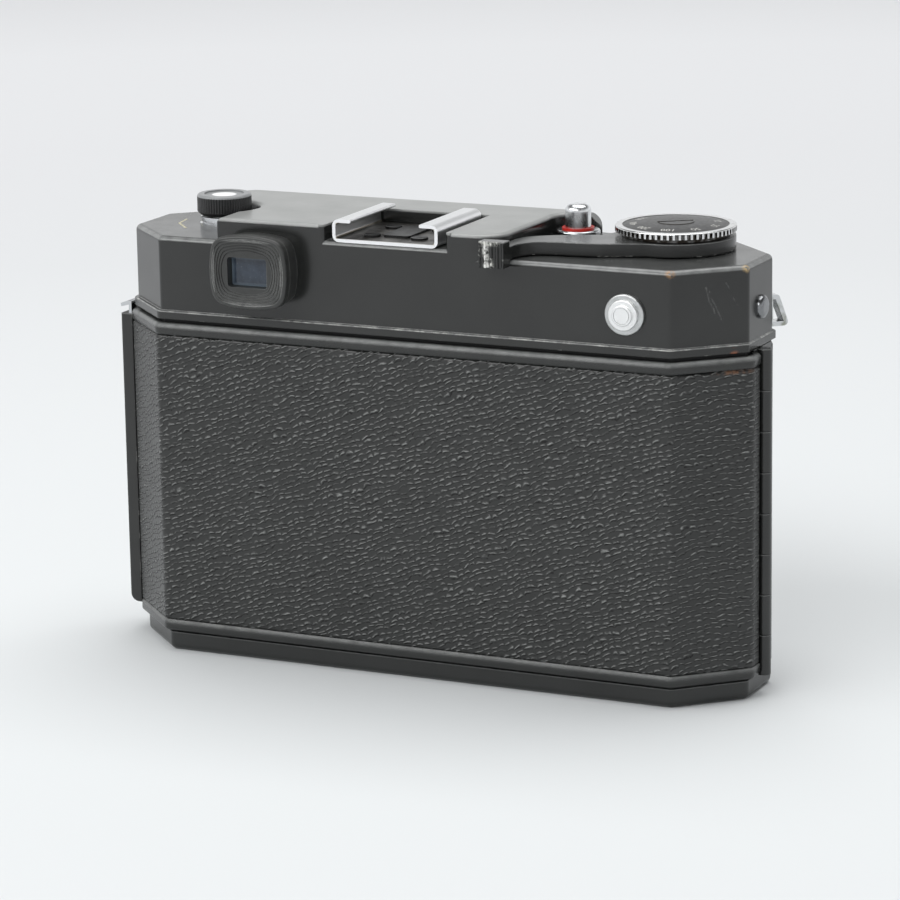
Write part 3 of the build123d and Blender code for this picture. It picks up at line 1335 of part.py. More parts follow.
# ================================================================ rewind knob
with BuildPart() as rewind_collar:
    with BuildSketch(Plane.XY.offset(deck_level)):
        with Locations(rewind_axis):
            ring(rewind_collar_radius + 0.2, rewind_sleeve_radius + running_gap)
    extrude(amount=1.1)
    with BuildSketch(Plane.XY.offset(deck_level)):
        with Locations(rewind_axis):
            ring(rewind_collar_radius - 0.5, rewind_sleeve_radius + running_gap)
    extrude(amount=knob_bottom - free_gap - deck_level)
    with BuildSketch(Plane.XY.offset(knob_bottom - free_gap)):
        with Locations(rewind_axis):
            ring(rewind_collar_radius, rewind_sleeve_radius + running_gap)
    extrude(amount=-0.85)
    with BuildSketch(Plane.XY.offset(deck_level)):
        with Locations(rewind_axis):
            ring(rewind_sleeve_radius + 0.35, rewind_sleeve_radius + running_gap)
    extrude(amount=-cover_wall - 1.5)
rewind_collar.part.label = "rewind_collar"
export_step(rewind_collar.part, "parts/rewind_collar.step")

# sleeve that slides up through the collar when the fork is lifted
with BuildPart() as rewind_sleeve:
    with BuildSketch(Plane.XY.offset(deck_level - 9.0)):
        with Locations(rewind_axis):
            ring(rewind_sleeve_radius, rewind_shaft_radius + running_gap)
    extrude(amount=knob_bottom - 0.05 - deck_level + 9.0)
    with BuildSketch(Plane.XY.offset(deck_level - 9.0)):
        with Locations(rewind_axis):
            ring(rewind_sleeve_radius + 0.8, rewind_shaft_radius + running_gap)
    extrude(amount=1.0)
rewind_sleeve.part.label = "rewind_sleeve"
export_step(rewind_sleeve.part, "parts/rewind_sleeve.step")

with BuildPart() as rewind_knob:
    with BuildSketch(Plane.XY.offset(knob_bottom)):
        with Locations(rewind_axis):
            Circle(knob_radius)
    extrude(amount=knob_top - knob_bottom)
    chamfer(rewind_knob.faces().sort_by(Axis.Z)[0].edges(), 0.6)
    fillet(rewind_knob.faces().sort_by(Axis.Z)[-1].edges(), 0.45)
    with BuildSketch(Plane.XY.offset(knob_bottom - 0.1)):
        with Locations(rewind_axis):
            with PolarLocations(knob_radius + 0.08, knob_ribs):
                Rectangle(0.3, 0.3, rotation=45)
    extrude(amount=knob_top - knob_bottom - 0.3, mode=Mode.SUBTRACT)
    with Locations((*rewind_axis, knob_top)):
        Cylinder(knob_radius - 1.3, 0.5, mode=Mode.SUBTRACT)
rewind_knob.part.label = "rewind_knob"
export_step(rewind_knob.part, "parts/rewind_knob.step")

# shaft with the fork that turns the cassette
with BuildPart() as rewind_fork:
    with Locations((*rewind_axis, chamber_ceiling - 1.5)):
        Cylinder(rewind_shaft_radius, knob_bottom - chamber_ceiling + 1.5, align=upright)
    with Locations((rewind_axis[0], rewind_axis[1], chamber_ceiling - 1.5)):
        Box(5.0, 1.0, 3.5, align=(Align.CENTER, Align.CENTER, Align.MAX))
    with Locations((rewind_axis[0], rewind_axis[1], chamber_ceiling - 2.5)):
        Box(1.6, 2.0, 8.0, align=(Align.CENTER, Align.CENTER, Align.MAX), mode=Mode.SUBTRACT)
    with Locations((*rewind_axis, chamber_ceiling - 2.0)):
        Cylinder(2.6, 1.2, align=upright)
rewind_fork.part.label = "rewind_fork"
export_step(rewind_fork.part, "parts/rewind_fork.step")

# ================================================================ lens and shutter
with BuildPart() as lens_flange:
    ring_between(flange_radius, barrel_rear_radius + 1.5, -casting_half_depth, flange_front)
    with BuildSketch(front_plane(-casting_half_depth)):
        ring(barrel_rear_radius + 1.4, barrel_rear_radius + running_gap)
    extrude(amount=-4.0)
    with BuildSketch(front_plane(-casting_half_depth)):
        ring(barrel_rear_radius + 2.5, barrel_rear_radius + running_gap)
    extrude(amount=-casting_half_depth - flange_front)
    with BuildSketch(front_plane(flange_front)):
        ring(helicoid_radius + helicoid_wall, helicoid_radius + running_gap)
    extrude(amount=6.0)
lens_flange.part.label = "lens_flange"
export_step(lens_flange.part, "parts/lens_flange.step")

with BuildPart() as focus_ring:
    ring_between(
        focus_ring_radius, helicoid_radius + helicoid_wall + running_gap, focus_ring_back, focus_ring_front
    )
    with BuildSketch(front_plane(focus_ring_back - 1.4)):
        with PolarLocations(focus_ring_radius + 0.35, 48):
            Circle(0.9)
    extrude(amount=focus_ring_back - focus_ring_front - 2.8, mode=Mode.SUBTRACT)
    # finger tab under the ring
    tab_top = film_axis_level - focus_ring_radius + 0.6
    with Locations((0, (focus_ring_back + focus_ring_front) / 2, tab_top)):
        Box(focus_tab, focus_tab, 3.2, align=(Align.CENTER, Align.CENTER, Align.MAX))
focus_ring.part.label = "focus_ring"
export_step(focus_ring.part, "parts/focus_ring.step")

# shutter housing: slides in the flange as the focus ring turns
with BuildPart() as shutter_housing:
    ring_between(helicoid_radius, ring_carrier_radius - 4, -18.2, speed_ring_back + 0.2)
    disc_between(ring_carrier_radius, speed_ring_back + 0.2, aperture_ring_front - 0.3)
    disc_between(shutter_radius, speed_ring_back + 0.2, speed_ring_back + 0.05)
    disc_between(barrel_rear_radius, -8.0, speed_ring_back + 0.2)
    disc_between(front_glass_radius + 0.05, -30.0, aperture_ring_front - 5, mode=Mode.SUBTRACT)
    disc_between(rear_glass_radius + 0.05, 0, -12.0, mode=Mode.SUBTRACT)
    disc_between(8.0, 0, -60.0, mode=Mode.SUBTRACT)
shutter_housing.part.label = "shutter_housing"
export_step(shutter_housing.part, "parts/shutter_housing.step")


def knurled_ring(outer, inner, back, front, count, depth):
    """Ring about the lens axis with a milled edge, in the current part."""
    ring_between(outer, inner, back, front)
    with BuildSketch(front_plane(back - 0.8)) as notches:
        with PolarLocations(outer + 0.1, count):
            Rectangle(2 * depth, 2 * depth, rotation=45)
    extrude(notches.sketch, amount=back - front - 1.6, mode=Mode.SUBTRACT)


with BuildPart() as speed_ring:
    knurled_ring(
        speed_ring_radius, ring_carrier_radius + running_gap, speed_ring_back, speed_ring_front, 90, 0.35
    )
speed_ring.part.label = "speed_ring"
export_step(speed_ring.part, "parts/speed_ring.step")

with BuildPart() as aperture_ring:
    knurled_ring(
        aperture_ring_radius, ring_carrier_radius + running_gap, aperture_ring_back,
        aperture_ring_front, 84, 0.3,
    )
aperture_ring.part.label = "aperture_ring"
export_step(aperture_ring.part, "parts/aperture_ring.step")

with BuildPart() as lens_bezel:
    ring_between(bezel_radius, filter_bore, aperture_ring_front - 0.3, bezel_front)
    fillet(lens_bezel.edges().group_by(Axis.Y)[0], 0.4)
    with BuildSketch(front_plane(aperture_ring_front - 0.3)):
        Circle(filter_bore + 0.2)
        Circle(front_glass_radius + 0.1, mode=Mode.SUBTRACT)
    extrude(amount=1.2)
lens_bezel.part.label = "lens_bezel"
export_step(lens_bezel.part, "parts/lens_bezel.step")

# front and rear elements of the lens: discs with a domed outer face
def dome(radius, flat_y, apex_y, bulge):
    """Glass disc about the lens axis, flat at one y and domed towards the other."""
    outward = 1 if apex_y > flat_y else -1
    disc_between(radius, max(flat_y, apex_y + outward), min(flat_y, apex_y + outward))
    sphere_radius = (radius**2 + bulge**2) / (2 * bulge)
    with Locations((0, apex_y - outward * sphere_radius, film_axis_level)):
        Sphere(sphere_radius, mode=Mode.INTERSECT)


with BuildPart() as front_glass:
    dome(front_glass_radius, -30.0, front_glass_apex, 2.6)
front_glass.part.label = "front_glass"
export_step(front_glass.part, "parts/front_glass.step")

with BuildPart() as rear_glass:
    dome(rear_glass_radius, -12.0, -8.6, 1.6)
rear_glass.part.label = "rear_glass"
export_step(rear_glass.part, "parts/rear_glass.step")
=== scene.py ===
"""Looks of a rangefinder camera for 35 mm film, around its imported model.

Everything is in metres in the model's own frame: +Z up, the lens looks along -Y, the back door
faces +Y, and the origin is the mouth of the tripod socket. Sizes written in millimetres are
turned to metres where they are used.
"""
import bmesh
import bpy
import numpy as np
from mathutils import Matrix, Vector


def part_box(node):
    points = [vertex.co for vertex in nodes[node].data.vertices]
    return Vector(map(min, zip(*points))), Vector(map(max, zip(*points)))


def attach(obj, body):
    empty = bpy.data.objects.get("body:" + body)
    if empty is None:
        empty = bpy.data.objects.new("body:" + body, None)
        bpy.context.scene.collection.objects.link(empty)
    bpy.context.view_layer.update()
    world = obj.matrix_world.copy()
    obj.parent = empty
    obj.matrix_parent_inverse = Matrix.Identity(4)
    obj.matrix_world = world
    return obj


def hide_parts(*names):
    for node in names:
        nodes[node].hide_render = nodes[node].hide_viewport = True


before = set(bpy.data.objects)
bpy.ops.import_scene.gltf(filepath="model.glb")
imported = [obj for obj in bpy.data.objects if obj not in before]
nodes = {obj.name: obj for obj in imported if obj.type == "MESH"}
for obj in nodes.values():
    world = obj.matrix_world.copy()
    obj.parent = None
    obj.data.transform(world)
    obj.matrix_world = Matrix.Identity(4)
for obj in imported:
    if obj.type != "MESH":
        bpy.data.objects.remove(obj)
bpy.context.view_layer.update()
MM = 0.001

# ---------------------------------------------------------------- camera
CAMERA_AZIMUTH = np.radians(205.08)
CAMERA_ELEVATION = np.radians(13.36)
CAMERA_ROLL = np.radians(-0.88)
CAMERA_DISTANCE = 679.5 * MM
CAMERA_TARGET = np.array([-0.27, 0.0, 37.71]) * MM
CAMERA_LENS = 154.0
CAMERA_FILM = 36.0


def make_camera():
    """Camera on a long lens, behind the body and a little above its top."""
    a, e, r = CAMERA_AZIMUTH, CAMERA_ELEVATION, CAMERA_ROLL
    back = np.array([np.sin(a) * np.cos(e), -np.cos(a) * np.cos(e), np.sin(e)])
    right = np.array([np.cos(a), np.sin(a), 0.0])
    up = np.cross(back, right)
    turned_right = right * np.cos(r) + up * np.sin(r)
    turned_up = up * np.cos(r) - right * np.sin(r)
    data = bpy.data.cameras.new("camera")
    data.lens = CAMERA_LENS
    data.sensor_width = CAMERA_FILM
    camera = bpy.data.objects.new("camera", data)
    place = Matrix(np.column_stack([turned_right, turned_up, back]).tolist()).to_4x4()
    place.translation = Vector(CAMERA_TARGET + back * CAMERA_DISTANCE)
    camera.matrix_world = place
    bpy.context.scene.collection.objects.link(camera)
    bpy.context.scene.camera = camera


make_camera()
bpy.context.scene.view_settings.view_transform = "Standard"


# ---------------------------------------------------------------- shader helpers
def linear(code):
    """Linear RGBA of an sRGB hex colour such as "#3E403F"."""
    v = np.array([int(code[i:i + 2], 16) for i in (1, 3, 5)]) / 255.0
    v = np.where(v <= 0.04045, v / 12.92, ((v + 0.055) / 1.055) ** 2.4)
    return (*v.tolist(), 1.0)


def across(size_mm):
    """Scale of a noise whose features are about this far across."""
    return 1.0 / (size_mm * MM)


def box_mm(node):
    """Lowest and highest corner of a node's box, in millimetres."""
    return [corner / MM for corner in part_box(node)]


def middle_of(node):
    """Middle of a node's box, in millimetres."""
    low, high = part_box(node)
    return np.array((low + high) / 2) / MM


def add(tree, kind, inputs=None, out=None, **settings):
    """Adds a node with its settings, and sets or links its inputs by identifier; returns one of
    its outputs."""
    made = tree.nodes.new(kind)
    for key, value in settings.items():
        setattr(made, key, value)
    sockets = {s.identifier: s for s in made.inputs}
    for key, value in (inputs or {}).items():
        if isinstance(value, bpy.types.NodeSocket):
            tree.links.new(value, sockets[key])
        else:
            sockets[key].default_value = value
    return {s.identifier: s for s in made.outputs}[out] if out else made.outputs[0]


def new_material(name, **sockets):
    """Material with a Principled shader whose sockets are set; returns it, its tree, its shader
    and its Object coordinates."""
    made = bpy.data.materials.new(name)
    made.use_nodes = True
    shader = made.node_tree.nodes["Principled BSDF"]
    for key, value in sockets.items():
        shader.inputs[key.replace("_", " ")].default_value = value
    return made, made.node_tree, shader, add(made.node_tree, "ShaderNodeTexCoord", out="Object")


def overlap(tree, mask, *others):
    """Masks multiplied together, so that the result is 1 only where every one of them is."""
    for other in others:
        mask = add(tree, "ShaderNodeMath", {
            "Value": mask, "Value_001": other,
        }, operation="MULTIPLY")
    return mask


def coats(tree, colour, *laid):
    """Colour of a surface under coats laid one over another. Each coat is the share from 0 to 1
    that it covers and its colour, where a hex code stands for its colour."""
    for share, coat in laid:
        under, over = (linear(c) if isinstance(c, str) else c for c in (colour, coat))
        colour = add(tree, "ShaderNodeMix", {
            "Factor_Float": share, "A_Color": under, "B_Color": over,
        }, "Result_Color", data_type="RGBA")
    return colour


def patches(tree, xyz, size_mm, low, high, to_low=0.0, to_high=1.0, detail=3.0):
    """Cloudy patches about this far across: noise stretched from one range of values to another."""
    cloud = add(tree, "ShaderNodeTexNoise", {
        "Vector": xyz, "Scale": across(size_mm), "Detail": detail, "Roughness": 0.6,
    })
    return add(tree, "ShaderNodeMapRange", {
        "Value": cloud, "From Min": low, "From Max": high, "To Min": to_low, "To Max": to_high,
    })


def edges(tree, radius_mm, full=0.86):
    """1 on edges and 0 on flat faces: how far a rounded normal leans from the real one."""
    rounded = add(tree, "ShaderNodeBevel", {"Radius": radius_mm * MM}, samples=4)
    real = add(tree, "ShaderNodeNewGeometry", out="Normal")
    lean = add(tree, "ShaderNodeVectorMath", {"Vector": rounded, "Vector_001": real}, "Value",
               operation="DOT_PRODUCT")
    return add(tree, "ShaderNodeMapRange", {"Value": lean, "From Min": 1.0, "From Max": full})


def facing(tree, normal, low, high, soft):
    """1 where the height of a normal lies between two values: 1 is a level top and 0 an upright
    wall."""
    height = add(tree, "ShaderNodeSeparateXYZ", {"Vector": normal}, "Z")
    rising = add(tree, "ShaderNodeMapRange", {
        "Value": height, "From Min": low - soft, "From Max": low,
    })
    falling = add(tree, "ShaderNodeMapRange", {
        "Value": height, "From Min": high + soft, "From Max": high,
    })
    return overlap(tree, rising, falling)


def near(tree, xyz, point_mm, radius_mm, full_mm=0.0):
    """1 up to a distance from a point, fading to 0 at a further one."""
    far = add(tree, "ShaderNodeVectorMath", {
        "Vector": xyz, "Vector_001": tuple(v * MM for v in point_mm),
    }, "Value", operation="DISTANCE")
    return add(tree, "ShaderNodeMapRange", {
        "Value": far, "From Min": radius_mm * MM, "From Max": full_mm * MM,
    })


def between(tree, xyz, axis, low_mm, high_mm, soft_mm=0.2):
    """1 between two values along an axis, fading to 0 just outside."""
    along = add(tree, "ShaderNodeSeparateXYZ", {"Vector": xyz}, axis)
    rising = add(tree, "ShaderNodeMapRange", {
        "Value": along, "From Min": (low_mm - soft_mm) * MM, "From Max": low_mm * MM,
    })
    falling = add(tree, "ShaderNodeMapRange", {
        "Value": along, "From Min": (high_mm + soft_mm) * MM, "From Max": high_mm * MM,
    })
    return overlap(tree, rising, falling)


def scratch(tree, xyz, start_mm, end_mm, width_mm):
    """1 on a straight line between two points, fading to 0 at its width: the distance to the
    line is the length of the part of the offset from its start that is square to it."""
    start, run = np.array(start_mm) * MM, (np.array(end_mm) - np.array(start_mm)) * MM
    length = float(np.linalg.norm(run))
    offset = add(tree, "ShaderNodeVectorMath", {
        "Vector": xyz, "Vector_001": tuple(start),
    }, operation="SUBTRACT")
    along = add(tree, "ShaderNodeVectorMath", {
        "Vector": offset, "Vector_001": tuple(run / length**2),
    }, "Value", operation="DOT_PRODUCT")
    square = add(tree, "ShaderNodeVectorMath", {
        "Vector": offset, "Vector_001": tuple(run / length),
    }, operation="CROSS_PRODUCT")
    distance = add(tree, "ShaderNodeVectorMath", {"Vector": square}, "Value", operation="LENGTH")
    thin = add(tree, "ShaderNodeMapRange", {
        "Value": distance, "From Min": width_mm * MM, "From Max": 0.0,
    })
    middle = add(tree, "ShaderNodeMath", {
        "Value": along, "Value_001": 0.5, "Value_002": 0.5,
    }, operation="COMPARE")
    return overlap(tree, thin, middle)


def rough_skin(tree, xyz, size_mm, depth_mm, normal=None):
    """Normal of a surface whose fine roughness is about this far across and this deep."""
    height = add(tree, "ShaderNodeTexNoise", {
        "Vector": xyz, "Scale": across(size_mm), "Detail": 2.0,
    })
    inputs = {"Height": height, "Distance": depth_mm * MM, "Strength": 1.0}
    if normal is not None:
        inputs["Normal"] = normal
    return add(tree, "ShaderNodeBump", inputs)


# ---------------------------------------------------------------- materials
# greys of the enamel: hand grease dried on a top, also the grey of a painted pale reflection on
# handled tops, a painted highlight on rounded edges that face up, partly paint rubbed thin, and
# primer
GREASE_AND_SHEEN_GREY = "#B7B9B7"
RUBBED_AND_HIGHLIGHT_GREY = "#9C9E9D"
PRIMER_GREY = "#B4B5B1"
GREASE_AND_SHEEN_SHARE = 0.04
# a handled top, painted with a pale reflection of the room: how much rougher its film is, and
# how far up from its lowest level it reaches
DULLED_ROUGHER = 0.1
DULLED_REACH = 5.0
# how far a scratch strays from a straight line
SCRATCH_SWAY = 0.8 * MM


def enamel(
    name, worn="#8E8F8B", wear=0.64, rough=0.2, spots=(), scratches=(), chips=(), dulled_and_sheen=None,
    rim=0.6, soft=0.35,
):
    """Stove enamel over metal: near black, glossy and slightly wavy, so it mirrors a pale room
    softly; its level tops take a faint grey of grease and painted sheen, its rounded edges that
    face up carry a painted light grey highlight, partly paint rubbed thin, its corners are rubbed
    to brass, and handled tops go dull and carry a painted pale reflection of the room. spots are
    (point, radius, colour) of bare metal, scratches (start, end, width, share, colour), chips
    (low, high) levels of chipped edges, dulled_and_sheen the level above which the film is matt
    and carries that painted reflection, rim the share of painted highlight grey on rounded edges
    that face up, and soft the radius to which the film rounds an edge, which also widens that
    highlight."""
    made, tree, shader, xyz = new_material(name, IOR=1.55)
    rounded = add(tree, "ShaderNodeBevel", {"Radius": soft * MM}, samples=6)
    # level tops: a faint grey of grease and painted sheen
    greasy = overlap(
        tree, facing(tree, rounded, 0.97, 1.0, 0.1),
        patches(tree, xyz, 7.0, 0.25, 0.75, 0.7 * GREASE_AND_SHEEN_SHARE, 1.3 * GREASE_AND_SHEEN_SHARE),
    )
    # rounded edges that face up: a painted highlight where light from above would catch them,
    # partly paint rubbed thin
    rubbed = overlap(
        tree, facing(tree, rounded, 0.4, 0.84, 0.2),
        patches(tree, xyz, 2.6, 0.25, 0.6, 0.55 * rim, rim, detail=4.0),
    )
    bare = overlap(tree, edges(tree, 0.3), patches(tree, xyz, 2.2, wear, wear + 0.08, detail=4.0))
    # the film is a touch uneven in tone over a finger's width
    film = coats(tree, "#1B1C1B", (patches(tree, xyz, 14.0, 0.3, 0.7), "#222322"))
    laid = [(greasy, GREASE_AND_SHEEN_GREY), (rubbed, RUBBED_AND_HIGHLIGHT_GREY), (bare, worn)]
    for low, high in chips:
        chipped = overlap(
            tree, facing(tree, rounded, 0.2, 0.93, 0.05), between(tree, xyz, "Z", low, high, 0.03),
            patches(tree, xyz, 1.8, 0.46, 0.66, 0.0, 0.85, detail=5.0),
        )
        laid.append((chipped, PRIMER_GREY))
    if spots:
        handled = overlap(tree, edges(tree, 0.7, 0.985), patches(tree, xyz, 1.0, 0.36, 0.46))
    for point, radius, metal in spots:
        laid.append((overlap(tree, near(tree, xyz, point, radius, 0.4 * radius), handled), metal))
    if scratches:
        sway = add(tree, "ShaderNodeTexNoise", {
            "Vector": xyz, "Scale": across(2.5), "Detail": 3.0,
        }, "Color")
        bent = add(tree, "ShaderNodeVectorMath", {
            "Vector": sway, "Vector_001": (SCRATCH_SWAY,) * 3, "Vector_002": xyz,
        }, operation="MULTIPLY_ADD")
    for start, end, width, share, metal in scratches:
        broken = patches(tree, xyz, 0.9, 0.4, 0.62, 0.0, share)
        laid.append((overlap(tree, scratch(tree, bent, start, end, width), broken), metal))
    smear = patches(tree, xyz, 9.0, 0.35, 0.75, rough, rough + 0.08, detail=5.0)
    if dulled_and_sheen is not None:
        # a handled top: a matt film with a painted pale reflection of the room over it
        top = between(tree, xyz, "Z", dulled_and_sheen, dulled_and_sheen + DULLED_REACH)
        painted_reflection = overlap(tree, top, patches(tree, xyz, 6.0, 0.2, 0.8, 0.46, 0.6, detail=5.0))
        laid.append((painted_reflection, GREASE_AND_SHEEN_GREY))
        smear = add(tree, "ShaderNodeMath", {
            "Value": top, "Value_001": DULLED_ROUGHER, "Value_002": smear,
        }, operation="MULTIPLY_ADD")
    tree.links.new(coats(tree, film, *laid), shader.inputs["Base Color"])
    tree.links.new(smear, shader.inputs["Roughness"])
    # orange peel of a sprayed film, drawn coarser than the real 0.1 mm so that it shows
    wavy = rough_skin(tree, xyz, 3.5, 0.005, rounded)
    tree.links.new(rough_skin(tree, xyz, 0.35, 0.001, wavy), shader.inputs["Normal"])
    return made


# a pebble of the leather and the depth of its relief, in millimetres
PEBBLE_WIDTH = 1.55
PEBBLE_HEIGHT = 0.98
GRAIN_DEPTH = 0.2
# in pebbles: the sway of the rows, where a lip lies in its row and how far chance and its arch
# lift it, the reach of the ridge and of the painted highlight on its crest, and the crease below,
# which is painted dark as shade
ROW_SWAY = (1.6, 1.9, 0.0)
LIP_LEVEL, LIP_CHANCE, LIP_ARCH = 0.26, 0.42, 0.12
RIDGE_REACH = 0.32
CREST_HIGHLIGHT_REACH = 0.125
CREASE_DROP, CREASE_REACH = 0.24, 0.09
# where the cut edge has frayed to the brown of the hide: a point, a radius and two levels
FRAYED_POINT = (-57.2, 8.9, 58.3)
FRAYED_RADIUS = 4.5
FRAYED_LEVELS = (57.7, 60.0)


def leather(name):
    """Embossed leather, waxed: smooth between wavy rows of short ridges, each the upper lip of a
    pebble, with a painted highlight along its crest, and a crease under it that stays dull and
    is painted dark as shade. Along a row a lip rises and falls as |sin(pi u)|, and white noise
    moves each one a little up or down, so that the rows break into arcs."""
    made, tree, shader, xyz = new_material(name, IOR=1.55)
    place = add(tree, "ShaderNodeAttribute", out="Vector", attribute_name="grain_place")
    sway = add(tree, "ShaderNodeTexNoise", {"Vector": place, "Scale": 0.42, "Detail": 2.0}, "Color")
    bent = add(tree, "ShaderNodeVectorMath", {
        "Vector": sway, "Vector_001": ROW_SWAY, "Vector_002": place,
    }, operation="MULTIPLY_ADD")
    along = add(tree, "ShaderNodeSeparateXYZ", {"Vector": bent}, "X")
    up = add(tree, "ShaderNodeSeparateXYZ", {"Vector": bent}, "Y")
    row = add(tree, "ShaderNodeMath", {"Value": up}, operation="FLOOR")
    # each row starts somewhere else, so pebbles don't stand in columns
    start = add(tree, "ShaderNodeTexWhiteNoise", {"W": row}, "Value", noise_dimensions="1D")
    along = add(tree, "ShaderNodeMath", {
        "Value": start, "Value_001": 7.0, "Value_002": along,
    }, operation="MULTIPLY_ADD")
    pebble = add(tree, "ShaderNodeMath", {"Value": along}, operation="FLOOR")
    cell = add(tree, "ShaderNodeCombineXYZ", {"X": pebble, "Y": row})
    chance = add(tree, "ShaderNodeTexWhiteNoise", {"Vector": cell}, "Value", noise_dimensions="2D")
    turn = add(tree, "ShaderNodeMath", {"Value": along, "Value_001": np.pi}, operation="MULTIPLY")
    wave = add(tree, "ShaderNodeMath", {"Value": turn}, operation="SINE")
    arch = add(tree, "ShaderNodeMath", {"Value": wave}, operation="ABSOLUTE")
    lift = add(tree, "ShaderNodeMath", {
        "Value": chance, "Value_001": LIP_CHANCE, "Value_002": LIP_LEVEL,
    }, operation="MULTIPLY_ADD")
    lip = add(tree, "ShaderNodeMath", {
        "Value": arch, "Value_001": LIP_ARCH, "Value_002": lift,
    }, operation="MULTIPLY_ADD")
    inside = add(tree, "ShaderNodeMath", {"Value": up, "Value_001": row}, operation="SUBTRACT")
    above = add(tree, "ShaderNodeMath", {"Value": inside, "Value_001": lip}, operation="SUBTRACT")
    off = add(tree, "ShaderNodeMath", {"Value": above}, operation="ABSOLUTE")
    strong = overlap(
        tree, add(tree, "ShaderNodeMapRange", {"Value": arch, "From Min": 0.18, "From Max": 0.75}),
        patches(tree, xyz, 1.6, 0.36, 0.64, 0.15, 1.0),
    )
    ridge = add(tree, "ShaderNodeMapRange", {
        "Value": off, "From Min": RIDGE_REACH, "From Max": 0.0,
    }, interpolation_type="SMOOTHSTEP")
    # painted highlight along the crest of each lip
    painted_crest_highlight = overlap(tree, add(tree, "ShaderNodeMapRange", {
        "Value": off, "From Min": CREST_HIGHLIGHT_REACH, "From Max": 0.02,
    }), strong)
    # painted shade in the crease under each lip, which is also rougher
    beneath = add(tree, "ShaderNodeMath", {
        "Value": above, "Value_001": -CREASE_DROP, "Value_002": CREASE_REACH,
    }, operation="COMPARE")
    shaded_crease = overlap(tree, beneath, patches(tree, xyz, 0.9, 0.38, 0.6, 0.1, 0.9))
    frayed = overlap(
        tree, near(tree, xyz, FRAYED_POINT, FRAYED_RADIUS),
        between(tree, xyz, "Z", *FRAYED_LEVELS, 0.3), patches(tree, xyz, 1.2, 0.4, 0.55),
    )
    colour = coats(
        tree, "#171817", (patches(tree, xyz, 9.0, 0.3, 0.7), "#1E1F1E"), (shaded_crease, "#050505"),
        (painted_crest_highlight, "#828482"), (frayed, "#6E4E38"),
    )
    tree.links.new(colour, shader.inputs["Base Color"])
    rough = add(tree, "ShaderNodeMapRange", {"Value": shaded_crease, "To Min": 0.34, "To Max": 0.9})
    tree.links.new(rough, shader.inputs["Roughness"])
    relief = add(tree, "ShaderNodeBump", {
        "Height": overlap(tree, ridge, strong), "Distance": GRAIN_DEPTH * MM, "Strength": 1.0,
    })
    tree.links.new(rough_skin(tree, xyz, 0.3, 0.006, relief), shader.inputs["Normal"])
    return made


def plated(name, colour="#C6C8CA", rough=0.08, grime="#5A5650", dirt=0.35):
    """Chromium or nickel plate: neutral metal that mirrors, cloudy where it was wiped, with
    grime held in patches."""
    made, tree, shader, xyz = new_material(name, Metallic=1.0)
    soiled = patches(tree, xyz, 1.6, 0.5, 0.7, 0.0, dirt, detail=5.0)
    tree.links.new(coats(tree, colour, (soiled, grime)), shader.inputs["Base Color"])
    cloudy = patches(tree, xyz, 2.4, 0.3, 0.8, rough, rough + 0.14, detail=5.0)
    tree.links.new(cloudy, shader.inputs["Roughness"])
    return made


# the milled rim: how far in from its lands the grime starts and is full, and how far down from
# its top it is wiped clean
GRIME_START, GRIME_FULL = 0.12, 0.3
WIPED_TOP = 0.25


def milled_chrome(name):
    """Chromium plate on a milled rim: bright lands and top, and old grime between the teeth,
    which is all that lies closer to the axis than the lands below the top."""
    made, tree, shader, xyz = new_material(name, Metallic=1.0)
    low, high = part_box("dial_ring")
    flat = add(tree, "ShaderNodeVectorMath", {
        "Vector": xyz, "Vector_001": (1.0, 1.0, 0.0),
        "Vector_002": (-(low.x + high.x) / 2, -(low.y + high.y) / 2, 0.0),
    }, operation="MULTIPLY_ADD")
    radius = add(tree, "ShaderNodeVectorMath", {"Vector": flat}, "Value", operation="LENGTH")
    outer = (high.x - low.x) / 2
    deep = add(tree, "ShaderNodeMapRange", {
        "Value": radius, "From Min": outer - GRIME_START * MM, "From Max": outer - GRIME_FULL * MM,
    })
    below = between(tree, xyz, "Z", 0.0, high.z / MM - WIPED_TOP, 0.05)
    grimy = overlap(tree, deep, below, patches(tree, xyz, 1.5, 0.2, 0.5, 0.6, 1.0))
    tree.links.new(coats(tree, "#DDDEDE", (grimy, "#2B2723")), shader.inputs["Base Color"])
    tree.links.new(patches(tree, xyz, 1.2, 0.3, 0.8, 0.14, 0.28), shader.inputs["Roughness"])
    return made


# where feet slide in the accessory shoe: across it, from its floor up, the floor, and along it
SHOE_X = (-5.0, 13.6)
SHOE_Z = (77.35, 80.0)
SHOE_FLOOR_Z = (77.25, 77.4)
SHOE_Y = (-4.0, 14.9)


def shoe_chrome(name):
    """Chromium plate on bent sheet: its outside and lips bright and satin, its inside yellowed
    and rubbed, with old grease and black where feet have slid over the floor."""
    made, tree, shader, xyz = new_material(name, Metallic=1.0)
    inside = overlap(
        tree, between(tree, xyz, "X", *SHOE_X, 0.1), between(tree, xyz, "Z", *SHOE_Z, 0.1),
    )
    floor = overlap(
        tree, between(tree, xyz, "X", *SHOE_X, 0.3), between(tree, xyz, "Z", *SHOE_FLOOR_Z, 0.03),
        between(tree, xyz, "Y", *SHOE_Y, 0.2),
    )
    # fine lines that run the way the feet slide
    lines = add(tree, "ShaderNodeMapping", {"Vector": xyz, "Scale": (1.0, 0.08, 1.0)})
    aged = coats(tree, "#8E877A", (patches(tree, lines, 0.9, 0.35, 0.65), "#B9B3A2"))
    greasy = coats(tree, "#33312E", (patches(tree, xyz, 3.0, 0.36, 0.66, detail=6.0), "#858380"))
    colour = coats(tree, "#F3F4F5", (inside, aged), (floor, greasy))
    tree.links.new(colour, shader.inputs["Base Color"])
    tree.links.new(patches(tree, lines, 1.2, 0.3, 0.7, 0.3, 0.45), shader.inputs["Roughness"])
    tree.links.new(rough_skin(tree, lines, 0.3, 0.003), shader.inputs["Normal"])
    return made


# the share of its brightness that a plain surface loses in its darker patches
MOTTLED_DARKER = 0.25


